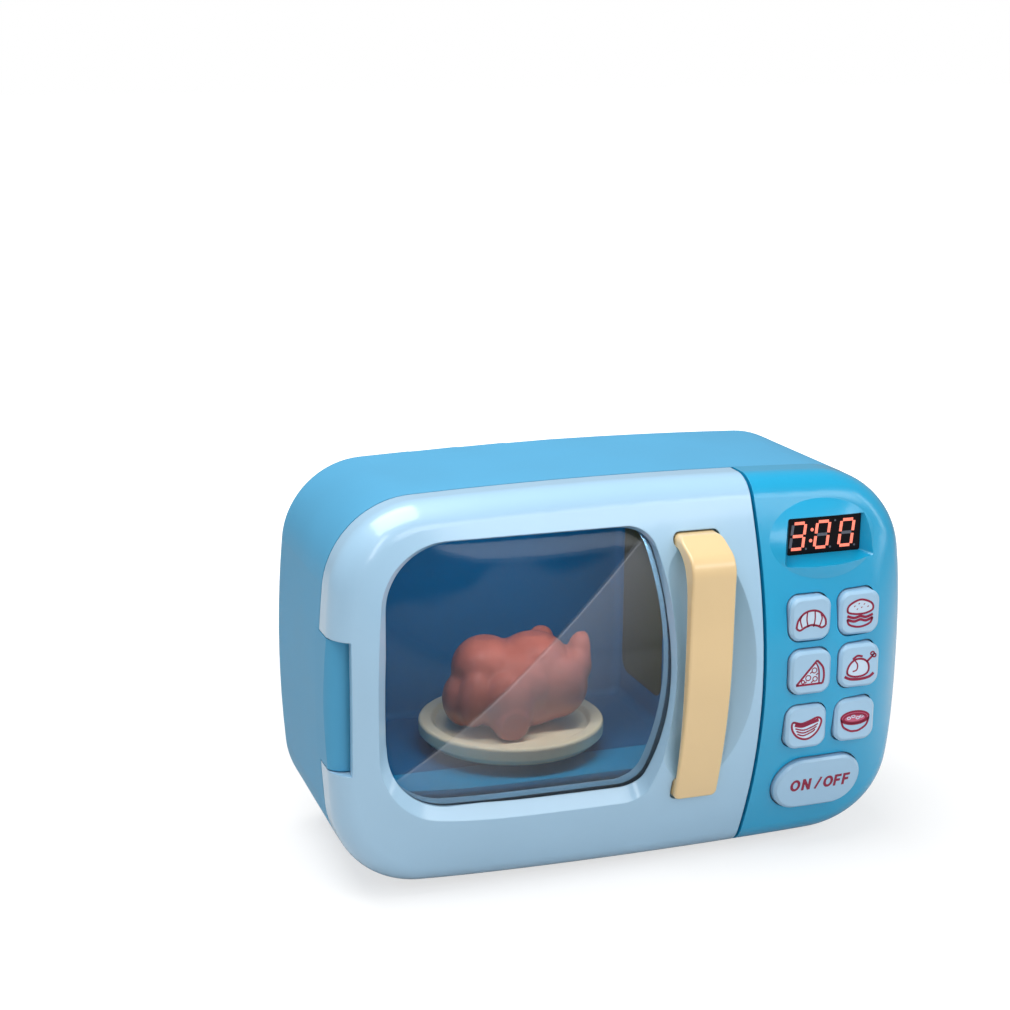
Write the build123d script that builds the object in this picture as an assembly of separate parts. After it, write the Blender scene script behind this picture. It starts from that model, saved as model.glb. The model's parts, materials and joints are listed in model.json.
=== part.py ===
from build123d import *
import os
from math import acos, atan2, cos, degrees, exp, pi, radians, sin, sqrt, tan

# Toy microwave oven, in millimetres. Every piece is drawn about the middle of the parting
# plane, where the door and control panel meet the casing: +X to the right, -Y to the front,
# +Z up. write() then moves it into the part's own frame, whose origin is on the floor under
# the middle of the toy.

# ---- Driving dimensions: the body ----
WIDTH = 280.0
HEIGHT = 182.0
CORNER_R = 42.0          # outline's corner radius
TOP_BOW = 4.1            # how far the top and bottom bow out
SIDE_BOW = 7.7           # how far the sides bow out
CASE_DEPTH = 89.0        # parting plane to the back
CASE_DRAFT = 1.4         # how much smaller all round the back is
BACK_ROUND = 8.8
MOUTH_CHAMFER = 1.8      # inner edge of the casing's mouth, for the door to swing past
WALL = 2.4
FOOT_HEIGHT = 3.0
FOOT_R = 9.0

# ---- The domed front ----
EDGE_DEPTH = 18.7        # how far the outline's edge stands ahead of the parting plane
RISE = 24.7              # how much further the middle stands out
LEFT_CURVE, RIGHT_CURVE, TOP_CURVE = 4.8, 8.5, 1.9   # exponents: higher is flatter in the middle
EDGE_ROUND = 16.0

# ---- Door, control panel and hinge ----
SPLIT_X = 57.9           # the line between the door and the control panel
SEAM = 1.7               # gap beside the door's free edge
REAR_SEAM = 0.8          # gap behind the door's rim
HINGE_X, HINGE_Y = -131.0, -9.0
KNUCKLE_R = 9.0
NOTCH_LOW, NOTCH_HIGH = -30.6, 31.1
NOTCH_X = -131.0         # the notch's inner edge in the door
PIN_R = 1.5
RUNNING = 0.05           # radial clearance of a running fit
LANDING_INSET = 14.0     # the frame behind the door, inset from the outline
FLANGE_Y = 3.0           # front face of the frame's flange
FLANGE_THICK = 2.5

# ---- Window and handle ----
WINDOW_LEFT, WINDOW_TOP, WINDOW_BOTTOM = -115.6, 71.5, -48.0
WINDOW_RIGHT_TOP, WINDOW_RIGHT_MID, WINDOW_RIGHT_BOTTOM = 6.5, 13.3, 2.7
WINDOW_MID_Z = 18.4
WINDOW_LEFT_R, WINDOW_RIGHT_R = 28.0, 13.0
PANE_INSET, PANE_THICK = 5.6, 1.8
DOOR_BACK_INSET = 12.8
HANDLE_X, HANDLE_W = 28.0, 21.3
HANDLE_FRONT = 51.5      # furthest reach ahead of the parting plane
UPPER_FOOT, LOWER_FOOT = (63.5, 69.0), (-55.5, -45.0)    # from and to, in Z
UPPER_FOOT_END, LOWER_FOOT_END = -24.6, -30.0
FOOT_GAP = 0.8           # between the handle's feet and the sides of their sockets
HANDLE_SCREWS = [(HANDLE_X, sum(UPPER_FOOT) / 2, UPPER_FOOT_END),
                 (HANDLE_X, sum(LOWER_FOOT) / 2, LOWER_FOOT_END)]
BOWL_X, BOWL_Z = 27.2, 8.8
BOWL_HALF_W, BOWL_HALF_H, BOWL_DEPTH = 26.7, 57.5, 11.0

# ---- Cooking cavity ----
CAVITY_LEFT, CAVITY_RIGHT = -116.0, 36.0
CAVITY_FLOOR, CAVITY_TOP = -44.5, 72.0
CAVITY_BACK = 77.0
CAVITY_R = 5.0
LINER_WALL = 2.0
LIGHT_Y, LIGHT_Z, LIGHT_LENGTH, LIGHT_HEIGHT = 48.0, 15.0, 50.0, 90.0    # window for the lamp

# ---- Buttons and display ----
BUTTON_COLUMNS = (80.1, 106.0)
BUTTON_ROWS = (27.4, 2.5, -24.5)
BUTTON_W, BUTTON_H, BUTTON_R = 20.5, 20.8, 5.5
START_X, START_Z, START_W, START_H = 91.6, -56.3, 45.5, 27.0
BUTTON_PROUD = 3.0
BUTTON_GAP = 0.7
BUTTON_TRAVEL = 1.0
SKIRT_BACK = -21.0
BOARD_FRONT, BOARD_THICK = -15.0, 1.6
SWITCH_TIP = -21.2
DISPLAY_X, DISPLAY_Z, DISPLAY_W, DISPLAY_H = 94.4, 61.6, 38.0, 19.0
DISPLAY_FACE = -25.0
BOSS_X, BOSS_Z, BOSS_HALF_W, BOSS_HALF_H, BOSS_RISE = 91.0, 61.5, 27.5, 17.5, 4.6

# ---- Turntable and its drive ----
TABLE_X, TABLE_Y = -39.2, 28.0
PLATE_R, PLATE_TOP, PLATE_BOTTOM = 44.0, -31.0, -39.8
PLATE_WELL = 2.2
GEAR_MODULE = 1.0
OUTPUT_TEETH, IDLER_TEETH, PINION_TEETH = 36, 32, 10
SHAFT_R = 3.0
GEAR_BACKLASH = 0.3
OUTPUT_Z, IDLER_Z = -55.0, -62.0      # undersides of the two gear stages
GEARBOX_LOW, GEARBOX_HIGH = -64.0, -49.0
LINER_POST_END, MOTOR_LOW = -56.0, -86.0
IDLER_X = TABLE_X + GEAR_MODULE * (OUTPUT_TEETH + PINION_TEETH) / 2
MOTOR_X = IDLER_X + GEAR_MODULE * (IDLER_TEETH + PINION_TEETH) / 2
GEAR_FRAME_SCREWS = [(TABLE_X - 17.0, TABLE_Y + 17.0), (TABLE_X - 17.0, TABLE_Y - 17.0),
                     (MOTOR_X + 9.0, TABLE_Y + 13.0), (MOTOR_X + 9.0, TABLE_Y - 13.0)]

# ---- Battery bay ----
BAY_X, BAY_Z, BAY_W, BAY_H = 92.0, -15.0, 60.0, 48.0
BAY_FRONT = 70.0
CELL_R, CELL_LENGTH, CELL_PITCH = 7.1, 49.5, 15.5

# ---- Speaker and screws ----
SPEAKER_X, SPEAKER_Z, SPEAKER_R = 95.0, 52.0, 18.0
COLUMNS = [(-128.0, 58.0), (-128.0, -58.0), (126.0, 60.0), (126.0, -60.0), (48.0, 80.0), (48.0, -80.0)]
COVER_SCREW = (BAY_X, BAY_Z + BAY_H / 2 + 6.0)
BOARD_POSTS = [(64.6, 46.0), (121.0, 46.0), (64.6, -38.6), (121.0, -38.6)]
COLUMN_FRONT = 20.3      # where the casing's screw columns meet the posts of the front frame
LINER_SCREWS = [(-100.0, 77.6), (20.0, 77.6), (-100.0, -50.6), (20.0, -50.6)]
DOOR_SCREWS = [(-88.0, 82.0), (40.0, 83.3), (-88.0, -82.0), (40.0, -83.3)]

HALF_W, HALF_H = WIDTH / 2, HEIGHT / 2
TO_PART_FRAME = Pos(0, (HANDLE_FRONT - CASE_DEPTH) / 2, FOOT_HEIGHT + HALF_H)

os.makedirs("parts", exist_ok=True)


# ---- Shared forms ----

def write(name, shape):
    """Writes one sub-part as a STEP file, moved into the part's frame."""
    export_step(TO_PART_FRAME * Compound(children=shape.solids()), f"parts/{name}.step")


def span_box(x_span, y_span, z_span):
    """A box between two corners."""
    sizes = [high - low for low, high in (x_span, y_span, z_span)]
    middle = [(high + low) / 2 for low, high in (x_span, y_span, z_span)]
    return Pos(*middle) * Box(*sizes)


def rod(x, z, radius, y_front, y_back):
    """A cylinder that runs front to back."""
    return Pos(x, (y_front + y_back) / 2, z) * Rot(90, 0, 0) * Cylinder(radius, y_back - y_front)


def post(x, y, radius, z_low, z_high):
    """An upright cylinder."""
    return Pos(x, y, (z_low + z_high) / 2) * Cylinder(radius, z_high - z_low)


def slab(sketch, y_front, y_back):
    """A sketch drawn in X and Z, made into a slab between two depths."""
    return extrude(Plane.XZ.offset(-y_back) * sketch, y_back - y_front)


def bowed_outline(inset=0.0):
    """The toy's front outline: bowed sides and round corners, eight tangent arcs whose centres
    stay put at every inset."""
    top_r = (HALF_W**2 + TOP_BOW**2) / (2 * TOP_BOW)
    side_r = (HALF_H**2 + SIDE_BOW**2) / (2 * SIDE_BOW)
    top_centre, side_centre = Vector(0, HALF_H - top_r), Vector(HALF_W - side_r, 0)
    between = side_centre - top_centre
    along = ((top_r - CORNER_R)**2 - (side_r - CORNER_R)**2 + between.length**2) / (2 * between.length)
    across = sqrt((top_r - CORNER_R)**2 - along**2)
    step = between.normalized()
    corner = top_centre + step * along + Vector(step.Y, -step.X) * across
    side_end = degrees(atan2(corner.Y - side_centre.Y, corner.X - side_centre.X))
    top_start = degrees(atan2(corner.Y - top_centre.Y, corner.X - top_centre.X))
    quarter = [
        CenterArc(side_centre, side_r - inset, 0, side_end),
        CenterArc(corner, CORNER_R - inset, side_end, top_start - side_end),
        CenterArc(top_centre, top_r - inset, top_start, 90 - top_start),
    ]
    right_half = quarter + [mirror(edge, Plane.XZ) for edge in quarter]
    return make_face(right_half + [mirror(edge, Plane.YZ) for edge in right_half])


def dome_y(x, z, inset=0.0):
    """Depth of the domed front, which falls away towards the outline as a superellipse does."""
    across = (abs(x) / (HALF_W - inset)) ** (LEFT_CURVE if x < 0 else RIGHT_CURVE)
    up = (abs(z) / (HALF_H - inset)) ** TOP_CURVE
    return -(EDGE_DEPTH - inset + RISE * (1 - across) * (1 - up))


def behind_dome(inset=0.0, columns=29, rows=21, reach=3.0, depth=120.0):
    """The block of space behind the domed front, or behind a surface parallel to it."""
    half_x, half_z = HALF_W - inset + reach, HALF_H - inset + reach
    xs = [half_x * (2 * i / (columns - 1) - 1) for i in range(columns)]
    zs = [half_z * (2 * i / (rows - 1) - 1) for i in range(rows)]
    grid = [[Vector(x, dome_y(x, z, inset), z) for x in xs] for z in zs]
    return extrude(Face.make_surface_from_array_of_points(grid, tol=0.02), depth, dir=(0, 1, 0))


def front_body(inset=0.0, back=0.0):
    """The body's front end as a solid: the outline's prism with the domed face and a rounded edge.
    Bodies at different insets are parallel, so the edge's radius shrinks with the inset."""
    body = slab(bowed_outline(inset), -60, back) & behind_dome(inset)
    if inset < EDGE_ROUND - 1:
        rim = body.edges().filter_by(lambda e: abs(e.tangent_at(0.5).Y) < 0.7 and e.center().Y < -3)
        body = fillet(rim, EDGE_ROUND - inset)
    return body


def case_block(inset=0.0):
    """The casing's outside, or its inside at an inset, with a drafted and rounded back."""
    depth = CASE_DEPTH - inset
    mouth = Plane.XZ * bowed_outline(inset)
    back = Plane.XZ.offset(-depth) * bowed_outline(inset + CASE_DRAFT)
    block = loft([mouth, back], ruled=True)
    rear_rim = block.edges().filter_by(lambda e: e.center().Y > depth - 0.1)
    return fillet(rear_rim, BACK_ROUND - inset)


def rounded_rect(width, height, radius, x=0.0, z=0.0):
    return Pos(x, z) * RectangleRounded(width, height, radius)


def cavity_outline(grow=0.0):
    width, height = CAVITY_RIGHT - CAVITY_LEFT, CAVITY_TOP - CAVITY_FLOOR
    centre = (CAVITY_LEFT + width / 2, CAVITY_FLOOR + height / 2)
    return rounded_rect(width + 2 * grow, height + 2 * grow, CAVITY_R + grow, *centre)


def window_outline(left=0.0, bottom=0.0, right=0.0, top=0.0):
    """The door's window: straight left, top and bottom, and a right side that bulges."""
    x_left, z_top, z_bottom = WINDOW_LEFT - left, WINDOW_TOP + top, WINDOW_BOTTOM - bottom
    top_right = (WINDOW_RIGHT_TOP + right, z_top)
    bottom_right = (WINDOW_RIGHT_BOTTOM + right, z_bottom)
    bulge = (WINDOW_RIGHT_MID + right, WINDOW_MID_Z)
    sides = [
        Line(top_right, (x_left, z_top)),
        Line((x_left, z_top), (x_left, z_bottom)),
        Line((x_left, z_bottom), bottom_right),
        ThreePointArc(bottom_right, bulge, top_right),
    ]
    face = make_face(sides)
    left_corners = face.vertices().filter_by(lambda v: abs(v.X - x_left) < 1)
    face = fillet(left_corners, WINDOW_LEFT_R)
    right_corners = face.vertices().filter_by(lambda v: v.X > -10)
    return fillet(right_corners, WINDOW_RIGHT_R)


def hinge_post(radius, z_low, z_high):
    return post(HINGE_X, HINGE_Y, radius, z_low, z_high)


def left_of_split(shape, inset=0.0):
    return shape & span_box((-200, SPLIT_X - SEAM / 2 - inset), (-80, 120), (-120, 120))


def right_of_split(shape, inset=0.0):
    return shape & span_box((SPLIT_X + SEAM / 2 + inset, 200), (-80, 120), (-120, 120))


# ---- Rear housing ----

def speaker_holes(hole_r=1.6, ring_pitch=5.2, rings=3):
    """Rings of round sound holes through the back wall."""
    holes = [rod(SPEAKER_X, SPEAKER_Z, hole_r, CASE_DEPTH - 6, CASE_DEPTH + 1)]
    for ring in range(1, rings):
        count = 6 * ring
        for i in range(count):
            angle = 2 * pi * i / count
            x = SPEAKER_X + ring * ring_pitch * cos(angle)
            z = SPEAKER_Z + ring * ring_pitch * sin(angle)
            holes.append(rod(x, z, hole_r, CASE_DEPTH - 6, CASE_DEPTH + 1))
    return holes


def battery_bay(grow=0.0):
    return rounded_rect(BAY_W + 2 * grow, BAY_H + 2 * grow, 3 + grow, BAY_X, BAY_Z)


def cover_outline(gap=0.0):
    """The battery cover: the bay's mouth and a strip above it for the screw."""
    return rounded_rect(BAY_W + 6 - 2 * gap, BAY_H + 14 - 2 * gap, 4 - gap, BAY_X, BAY_Z + 4)


def rear_housing():
    inside = case_block(WALL)
    shell = case_block() - inside
    shell -= loft([Plane.XZ.offset(0.1) * bowed_outline(WALL - MOUTH_CHAMFER),
                   Plane.XZ.offset(-MOUTH_CHAMFER) * bowed_outline(WALL)], ruled=True)
    back_in = CASE_DEPTH - WALL
    for x, z in COLUMNS:
        shell += rod(x, z, 4.0, COLUMN_FRONT, back_in + 0.5)
    shell += slab(battery_bay(2.0) - battery_bay(), BAY_FRONT - 2, CASE_DEPTH - 0.5)
    shell += slab(battery_bay(2.0), BAY_FRONT - 2, BAY_FRONT)
    shell += slab(cover_outline(-2.0), back_in - 2.2, back_in + 0.5)
    shell += rod(*COVER_SCREW, 4.0, back_in - 12, back_in)
    shell += slab(Pos(SPEAKER_X, SPEAKER_Z) * Circle(SPEAKER_R + 2.2), back_in - 6, back_in + 0.5)
    shell += knuckle()
    shell -= slab(Pos(SPEAKER_X, SPEAKER_Z) * Circle(SPEAKER_R + 0.4), back_in - 10, back_in)
    shell -= slab(battery_bay(), BAY_FRONT, CASE_DEPTH + 1)
    shell -= slab(cover_outline(), CASE_DEPTH - 2.4, CASE_DEPTH + 1)
    shell -= rod(*COVER_SCREW, 1.1, back_in - 11, CASE_DEPTH)
    for x, z in COLUMNS:
        shell -= rod(x, z, 2.9, COLUMN_FRONT + 5, CASE_DEPTH + 1)
        shell -= rod(x, z, 1.6, COLUMN_FRONT - 1, COLUMN_FRONT + 6)
    for hole in speaker_holes():
        shell -= hole
    return shell


def knuckle():
    """The fixed barrel of the hinge, rolled out of the casing's left side."""
    low, high = NOTCH_LOW + 0.6, NOTCH_HIGH - 0.6
    barrel = hinge_post(KNUCKLE_R, low, high)
    root = span_box((-HALF_W, HINGE_X), (HINGE_Y, 6), (low, high))
    outline_prism = slab(bowed_outline(), -40, 20)
    return ((barrel + root) & outline_prism) - hinge_post(PIN_R + RUNNING, low - 1, high + 1)


def battery_cover():
    """Screwed-down cover, with two tongues that hook under the bay's lower edge and finger ribs."""
    cover = slab(cover_outline(0.3), CASE_DEPTH - 2.3, CASE_DEPTH)
    for x in (BAY_X - 18, BAY_X + 18):
        cover += span_box((x - 4, x + 4), (CASE_DEPTH - 4.6, CASE_DEPTH - 2.0),
                          (BAY_Z - BAY_H / 2 + 0.4, BAY_Z - BAY_H / 2 + 3))
    for i in range(5):
        z = BAY_Z - 14 + 3.0 * i
        cover -= span_box((BAY_X - 11, BAY_X + 11), (CASE_DEPTH - 0.7, CASE_DEPTH + 1), (z - 0.7, z + 0.7))
    cover -= rod(*COVER_SCREW, 1.6, CASE_DEPTH - 5, CASE_DEPTH + 1)
    cover -= rod(*COVER_SCREW, 2.9, CASE_DEPTH - 1.2, CASE_DEPTH + 1)
    return cover


def screw(head_r, head_t, shank_r, length):
    """A pan-head screw along +Z: the shank from z = 0 up, the head on top with a cross recess."""
    head = Pos(0, 0, length + head_t / 2) * Cylinder(head_r, head_t)
    head = fillet(head.edges().filter_by(GeomType.CIRCLE).sort_by(Axis.Z)[-1], head_t * 0.45)
    body = head + Pos(0, 0, length / 2) * Cylinder(shank_r, length)
    for turn in (0, 90):
        body -= Pos(0, 0, length + head_t) * Rot(0, 0, turn) * Box(head_r * 1.1, head_r * 0.28, head_t)
    return body


def screws_facing_back(places, y_tip, head_r, head_t, shank_r, length):
    """Screws driven from the back towards the front; y_tip is where the points end."""
    return [Pos(x, y_tip, z) * Rot(-90, 0, 0) * screw(head_r, head_t, shank_r, length) for x, z in places]


# ---- Front frame with the control panel ----

def button_places():
    return [(x, z) for z in BUTTON_ROWS for x in BUTTON_COLUMNS]


def display_boss(columns=15, rows=11, reach=1.2):
    """The raised oval round the display: a shallow swelling on the dome, with a crease at its edge."""
    grid = []
    for row in range(rows):
        v = reach * (2 * row / (rows - 1) - 1)
        us = [reach * (2 * i / (columns - 1) - 1) for i in range(columns)]
        places = [(BOSS_X + u * BOSS_HALF_W, BOSS_Z + v * BOSS_HALF_H, u) for u in us]
        grid.append([Vector(x, dome_y(x, z) - BOSS_RISE * (1 - u * u - v * v), z) for x, z, u in places])
    swelling = extrude(Face.make_surface_from_array_of_points(grid, tol=0.02), 14, dir=(0, 1, 0))
    return swelling - behind_dome(WALL / 2)


def display_collar():
    """The box behind the panel that carries the funnel's walls back to the display."""
    outline = rounded_rect(DISPLAY_W + 14, DISPLAY_H + 9, 3, DISPLAY_X - 1, DISPLAY_Z)
    return slab(outline, -60, DISPLAY_FACE + 4) & front_body(WALL / 2)


def display_funnel():
    """The flared opening in front of the display."""
    mouth = Plane.XZ.offset(45) * rounded_rect(63, 26.4, 2.5, DISPLAY_X + 1.1, DISPLAY_Z + 0.2)
    throat = Plane.XZ.offset(-DISPLAY_FACE) * rounded_rect(DISPLAY_W - 1.2, DISPLAY_H - 1.4, 0.8,
                                                           DISPLAY_X, DISPLAY_Z)
    return loft([throat, mouth], ruled=True)


def front_bezel():
    """One moulding: the domed control panel, and the landing frame behind the door."""
    panel = right_of_split(front_body())
    panel -= right_of_split(front_body(WALL, back=1), WALL)
    panel += right_of_split(display_boss()) + display_collar()
    panel += right_of_split(slab(bowed_outline(2.2) - bowed_outline(5.0), -6, -0.3))
    panel += right_of_split(slab(bowed_outline(2.8) - bowed_outline(5.0), -6, FLANGE_Y + FLANGE_THICK))
    landing_hollow = front_body(LANDING_INSET + WALL, back=FLANGE_Y + FLANGE_THICK + 1)
    landing = front_body(LANDING_INSET, back=FLANGE_Y + FLANGE_THICK)
    collar = slab(cavity_outline(2.2), -50, FLANGE_Y + FLANGE_THICK) & landing
    landing -= landing_hollow
    flange = slab(bowed_outline(2.8) - bowed_outline(LANDING_INSET + 1), FLANGE_Y, FLANGE_Y + FLANGE_THICK)
    frame = left_of_split(landing + flange + collar, -SEAM - WALL)
    frame -= hinge_post(12.0, -68, 68)
    frame -= span_box((-HALF_W, HINGE_X + 0.4), (-12, 12), (NOTCH_LOW, NOTCH_HIGH))
    bezel = panel + frame
    for x, z in COLUMNS:
        bezel += rod(x, z, 4.0, FLANGE_Y + 0.2, COLUMN_FRONT - 0.3)
        bezel += rod(x, z, 7.0, FLANGE_Y, FLANGE_Y + FLANGE_THICK) & slab(bowed_outline(2.8), 0, 10)
    for x, z in LINER_SCREWS:
        bezel += rod(x, z, 4.5, 0.5, FLANGE_Y + FLANGE_THICK)
    for x, z in BOARD_POSTS:
        bezel += rod(x, z, 3.0, -45, BOARD_FRONT - 0.3) & behind_dome(1.2)
    bezel -= slab(cavity_outline(), -60, 20)
    bezel -= display_funnel()
    bezel -= slab(rounded_rect(DISPLAY_W + 0.6, DISPLAY_H + 0.6, 0.6, DISPLAY_X, DISPLAY_Z),
                  DISPLAY_FACE - 0.2, BOARD_FRONT)
    for x, z in button_places():
        hole = rounded_rect(BUTTON_W + 2 * BUTTON_GAP, BUTTON_H + 2 * BUTTON_GAP, BUTTON_R + BUTTON_GAP, x, z)
        bezel -= slab(hole, -60, SKIRT_BACK)
    bezel -= slab(start_outline(BUTTON_GAP), -60, SKIRT_BACK)
    bezel -= catch_prong(0.6)
    for x, z in COLUMNS:
        bezel -= rod(x, z, 1.2, 8, COLUMN_FRONT + 1)
    for x, z in BOARD_POSTS:
        bezel -= rod(x, z, 1.0, -27, BOARD_FRONT + 1)
    for x, z in LINER_SCREWS:
        bezel -= rod(x, z, 1.0, 1.6, FLANGE_Y + FLANGE_THICK + 1)
    return bezel


def start_outline(grow=0.0):
    return rounded_rect(START_W + 2 * grow, START_H + 2 * grow, START_H / 2 - 0.01 + grow, START_X, START_Z)


def pressed_cap(outline, skirt_outline, core_outline, front, stem):
    """A hollow button: a cap, a skirt that rests against the inside of the panel, and a stem."""
    cap = slab(outline, -60, SKIRT_BACK) & front
    rim = cap.edges().filter_by(lambda e: abs(e.tangent_at(0.5).Y) < 0.7 and e.center().Y < SKIRT_BACK - 5)
    cap = chamfer(rim, 1.3)
    cap += slab(skirt_outline, -60, SKIRT_BACK) & front_body(WALL + 0.5)
    cap -= slab(core_outline, -60, SKIRT_BACK + 1) & behind_dome(1.0)
    return cap + rod(*stem, 2.2, dome_y(*stem), SWITCH_TIP - 1.2)


def square_button(x, z):
    outline = rounded_rect(BUTTON_W, BUTTON_H, BUTTON_R, x, z)
    skirt = rounded_rect(BUTTON_W + 3.0, BUTTON_H + 3.0, BUTTON_R + 1.5, x, z)
    core = rounded_rect(BUTTON_W - 3.2, BUTTON_H - 3.2, BUTTON_R - 1.6, x, z)
    front = span_box((x - 30, x + 30), (dome_y(x, z) - BUTTON_PROUD, 0), (z - 30, z + 30))
    return pressed_cap(outline, skirt, core, front, (x, z))


def start_button():
    return pressed_cap(start_outline(), start_outline(1.5), start_outline(-1.6),
                       behind_dome(-BUTTON_PROUD), (START_X, START_Z))


# ---- Electronics ----

def control_board():
    outline = rounded_rect(63.0, 146, 3, 92.9, 2.0) & bowed_outline(12.0)
    board = slab(outline, BOARD_FRONT, BOARD_FRONT + BOARD_THICK)
    for x, z in BOARD_POSTS:
        board -= rod(x, z, 1.4, BOARD_FRONT - 1, BOARD_FRONT + BOARD_THICK + 1)
    return board


def tact_switch(x, z):
    body = span_box((x - 3, x + 3), (SWITCH_TIP + 1.6, BOARD_FRONT), (z - 3, z + 3))
    return body + rod(x, z, 1.7, SWITCH_TIP, SWITCH_TIP + 2)


def display_module():
    """Three-digit LED module, its face to the front, standing on the board."""
    box = slab(rounded_rect(DISPLAY_W, DISPLAY_H, 0.4, DISPLAY_X, DISPLAY_Z), DISPLAY_FACE, DISPLAY_FACE + 8)
    for i in range(6):
        for z in (DISPLAY_Z - 7.5, DISPLAY_Z + 7.5):
            x = DISPLAY_X + 2.54 * (i - 2.5)
            box += rod(x, z, 0.4, DISPLAY_FACE + 7, BOARD_FRONT)
    return box


def speaker():
    """A small paper-cone speaker, its magnet towards the front of the toy."""
    back_in = CASE_DEPTH - WALL
    frame = rod(SPEAKER_X, SPEAKER_Z, SPEAKER_R, back_in - 3.0, back_in - 0.2)
    cone = Pos(SPEAKER_X, back_in - 5.5, SPEAKER_Z) * Rot(-90, 0, 0) * Cone(9, SPEAKER_R - 2, 5)
    hollow = Pos(SPEAKER_X, back_in - 1.6, SPEAKER_Z) * Rot(-90, 0, 0) * Cone(6, SPEAKER_R - 3, 3)
    return frame + cone + rod(SPEAKER_X, SPEAKER_Z, 8, back_in - 12, back_in - 7) - hollow


def battery_cells():
    cells = []
    for i in range(3):
        z = BAY_Z + CELL_PITCH * (i - 1)
        turn = Rot(0, 90 if i % 2 else -90, 0)
        can = Cylinder(CELL_R, CELL_LENGTH - 1.4)
        nub = Pos(0, 0, (CELL_LENGTH - 1.4) / 2 + 0.7) * Cylinder(2.7, 1.4)
        cells.append(Pos(BAY_X, BAY_FRONT + 9, z) * turn * (can + nub))
    return cells


def battery_contacts():
    """A spring and a flat blade at the ends of each cell, on plates at the bay's end walls."""
    contacts = []
    for side in (-1, 1):
        wall = BAY_X + side * (BAY_W / 2 - 0.5)
        for i in range(3):
            z = BAY_Z + CELL_PITCH * (i - 1)
            plate = Pos(wall, BAY_FRONT + 9, z) * Box(0.6, 12, 12)
            has_spring = (side > 0) == bool(i % 2 == 0)
            reach, foot_r, tip_r = (3.2, 4.0, 2.6) if has_spring else (1.8, 2.2, 1.8)
            turn = Rot(0, -90 * side, 0)
            nose = Pos(wall - side * reach / 2, BAY_FRONT + 9, z) * turn * Cone(foot_r, tip_r, reach)
            contacts.append(plate + nose)
    return contacts


# ---- Cavity ----

def light_window(grow=0.0, thick=4.0, x=CAVITY_RIGHT):
    shape = RectangleRounded(LIGHT_LENGTH + 2 * grow, LIGHT_HEIGHT + 2 * grow, 8 + grow)
    return extrude(Plane(origin=(x, LIGHT_Y, LIGHT_Z), x_dir=(0, 1, 0), z_dir=(1, 0, 0)) * shape, thick)


def cavity_liner():
    """The tub that lines the cooking cavity, with a rim that is screwed to the front frame."""
    front = FLANGE_Y + FLANGE_THICK + 0.2
    tub = slab(cavity_outline(LINER_WALL), front, CAVITY_BACK + LINER_WALL)
    rear = tub.edges().filter_by(lambda e: e.center().Y > CAVITY_BACK + LINER_WALL - 0.1)
    tub = fillet(rear, CAVITY_R + 1)
    hollow = slab(cavity_outline(), front - 1, CAVITY_BACK)
    rear = hollow.edges().filter_by(lambda e: e.center().Y > CAVITY_BACK - 0.1)
    for x, z in LINER_SCREWS:
        tub += rod(x, z, 4.5, front, front + 2)
    for x, y in GEAR_FRAME_SCREWS:
        tub += post(x, y, 3.2, LINER_POST_END, CAVITY_FLOOR - 1)
    tub -= fillet(rear, CAVITY_R - 1)
    tub -= light_window(thick=10, x=CAVITY_RIGHT - 2)
    tub -= post(TABLE_X, TABLE_Y, SHAFT_R + 2 + RUNNING, CAVITY_FLOOR - 10, CAVITY_FLOOR + 1)
    for x, z in LINER_SCREWS:
        tub -= rod(x, z, 1.5, front - 1, front + 3)
    for x, y in GEAR_FRAME_SCREWS:
        tub -= post(x, y, 1.0, LINER_POST_END - 1, CAVITY_FLOOR - 1)
    return tub


def light_cover():
    """The amber window in the cavity's right wall, with a flange behind the wall."""
    return light_window(-0.3, 2.0) + light_window(3.0, 1.2, CAVITY_RIGHT + LINER_WALL)


def cavity_led():
    """A round LED on a small base, shining in through the amber window."""
    x = CAVITY_RIGHT + 8
    base = Pos(x + 3, LIGHT_Y, LIGHT_Z + 20) * Box(1.6, 14, 14)
    lens = Pos(x + 0.4, LIGHT_Y, LIGHT_Z + 20) * Rot(0, 90, 0) * Cylinder(2.5, 4)
    tip = Pos(x - 1.6, LIGHT_Y, LIGHT_Z + 20) * Sphere(2.5)
    return base + lens + tip


# ---- Door ----

def window_edge_x(z):
    """How far right the bevel's outer edge stands beside the handle, at a height."""
    return WINDOW_RIGHT_MID + 1.6 - ((z - WINDOW_MID_Z) / 20.4) ** 2


def handle_bowl(grow=0.0, columns=25, rows=25, reach=1.12, run_in=9.0):
    """The finger recess: everything ahead of an oval dish sunk into the dome. The dish is steep at
    its right and runs out to nothing at the window's edge."""
    half_w, half_h, depth = BOWL_HALF_W + grow, BOWL_HALF_H + grow, BOWL_DEPTH + grow
    grid = []
    for row in range(rows):
        v = reach * (2 * row / (rows - 1) - 1)
        z = BOWL_Z + v * half_h
        left, right = window_edge_x(z) - 1 - grow, BOWL_X + reach * half_w
        line = []
        for column in range(columns):
            x = left + (right - left) * column / (columns - 1)
            r = sqrt(((x - BOWL_X) / half_w)**2 + v * v)
            sunk = depth * (1 - r**3) * (1 - exp((left - x) / run_in)) - 0.3
            line.append(Vector(x, dome_y(x, z) + sunk, z))
        grid.append(line)
    return extrude(Face.make_surface_from_array_of_points(grid, tol=0.02), 60, dir=(0, -1, 0))


def window_flare(y):
    """How far each side of the window's bevel stands outside the pane's outline at a depth."""
    return {"left": 0.82 * (-25 - y), "bottom": 1.5 * (-29 - y),
            "right": 0.2 * (-35 - y), "top": 0.35 * (-20 - y)}


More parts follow.
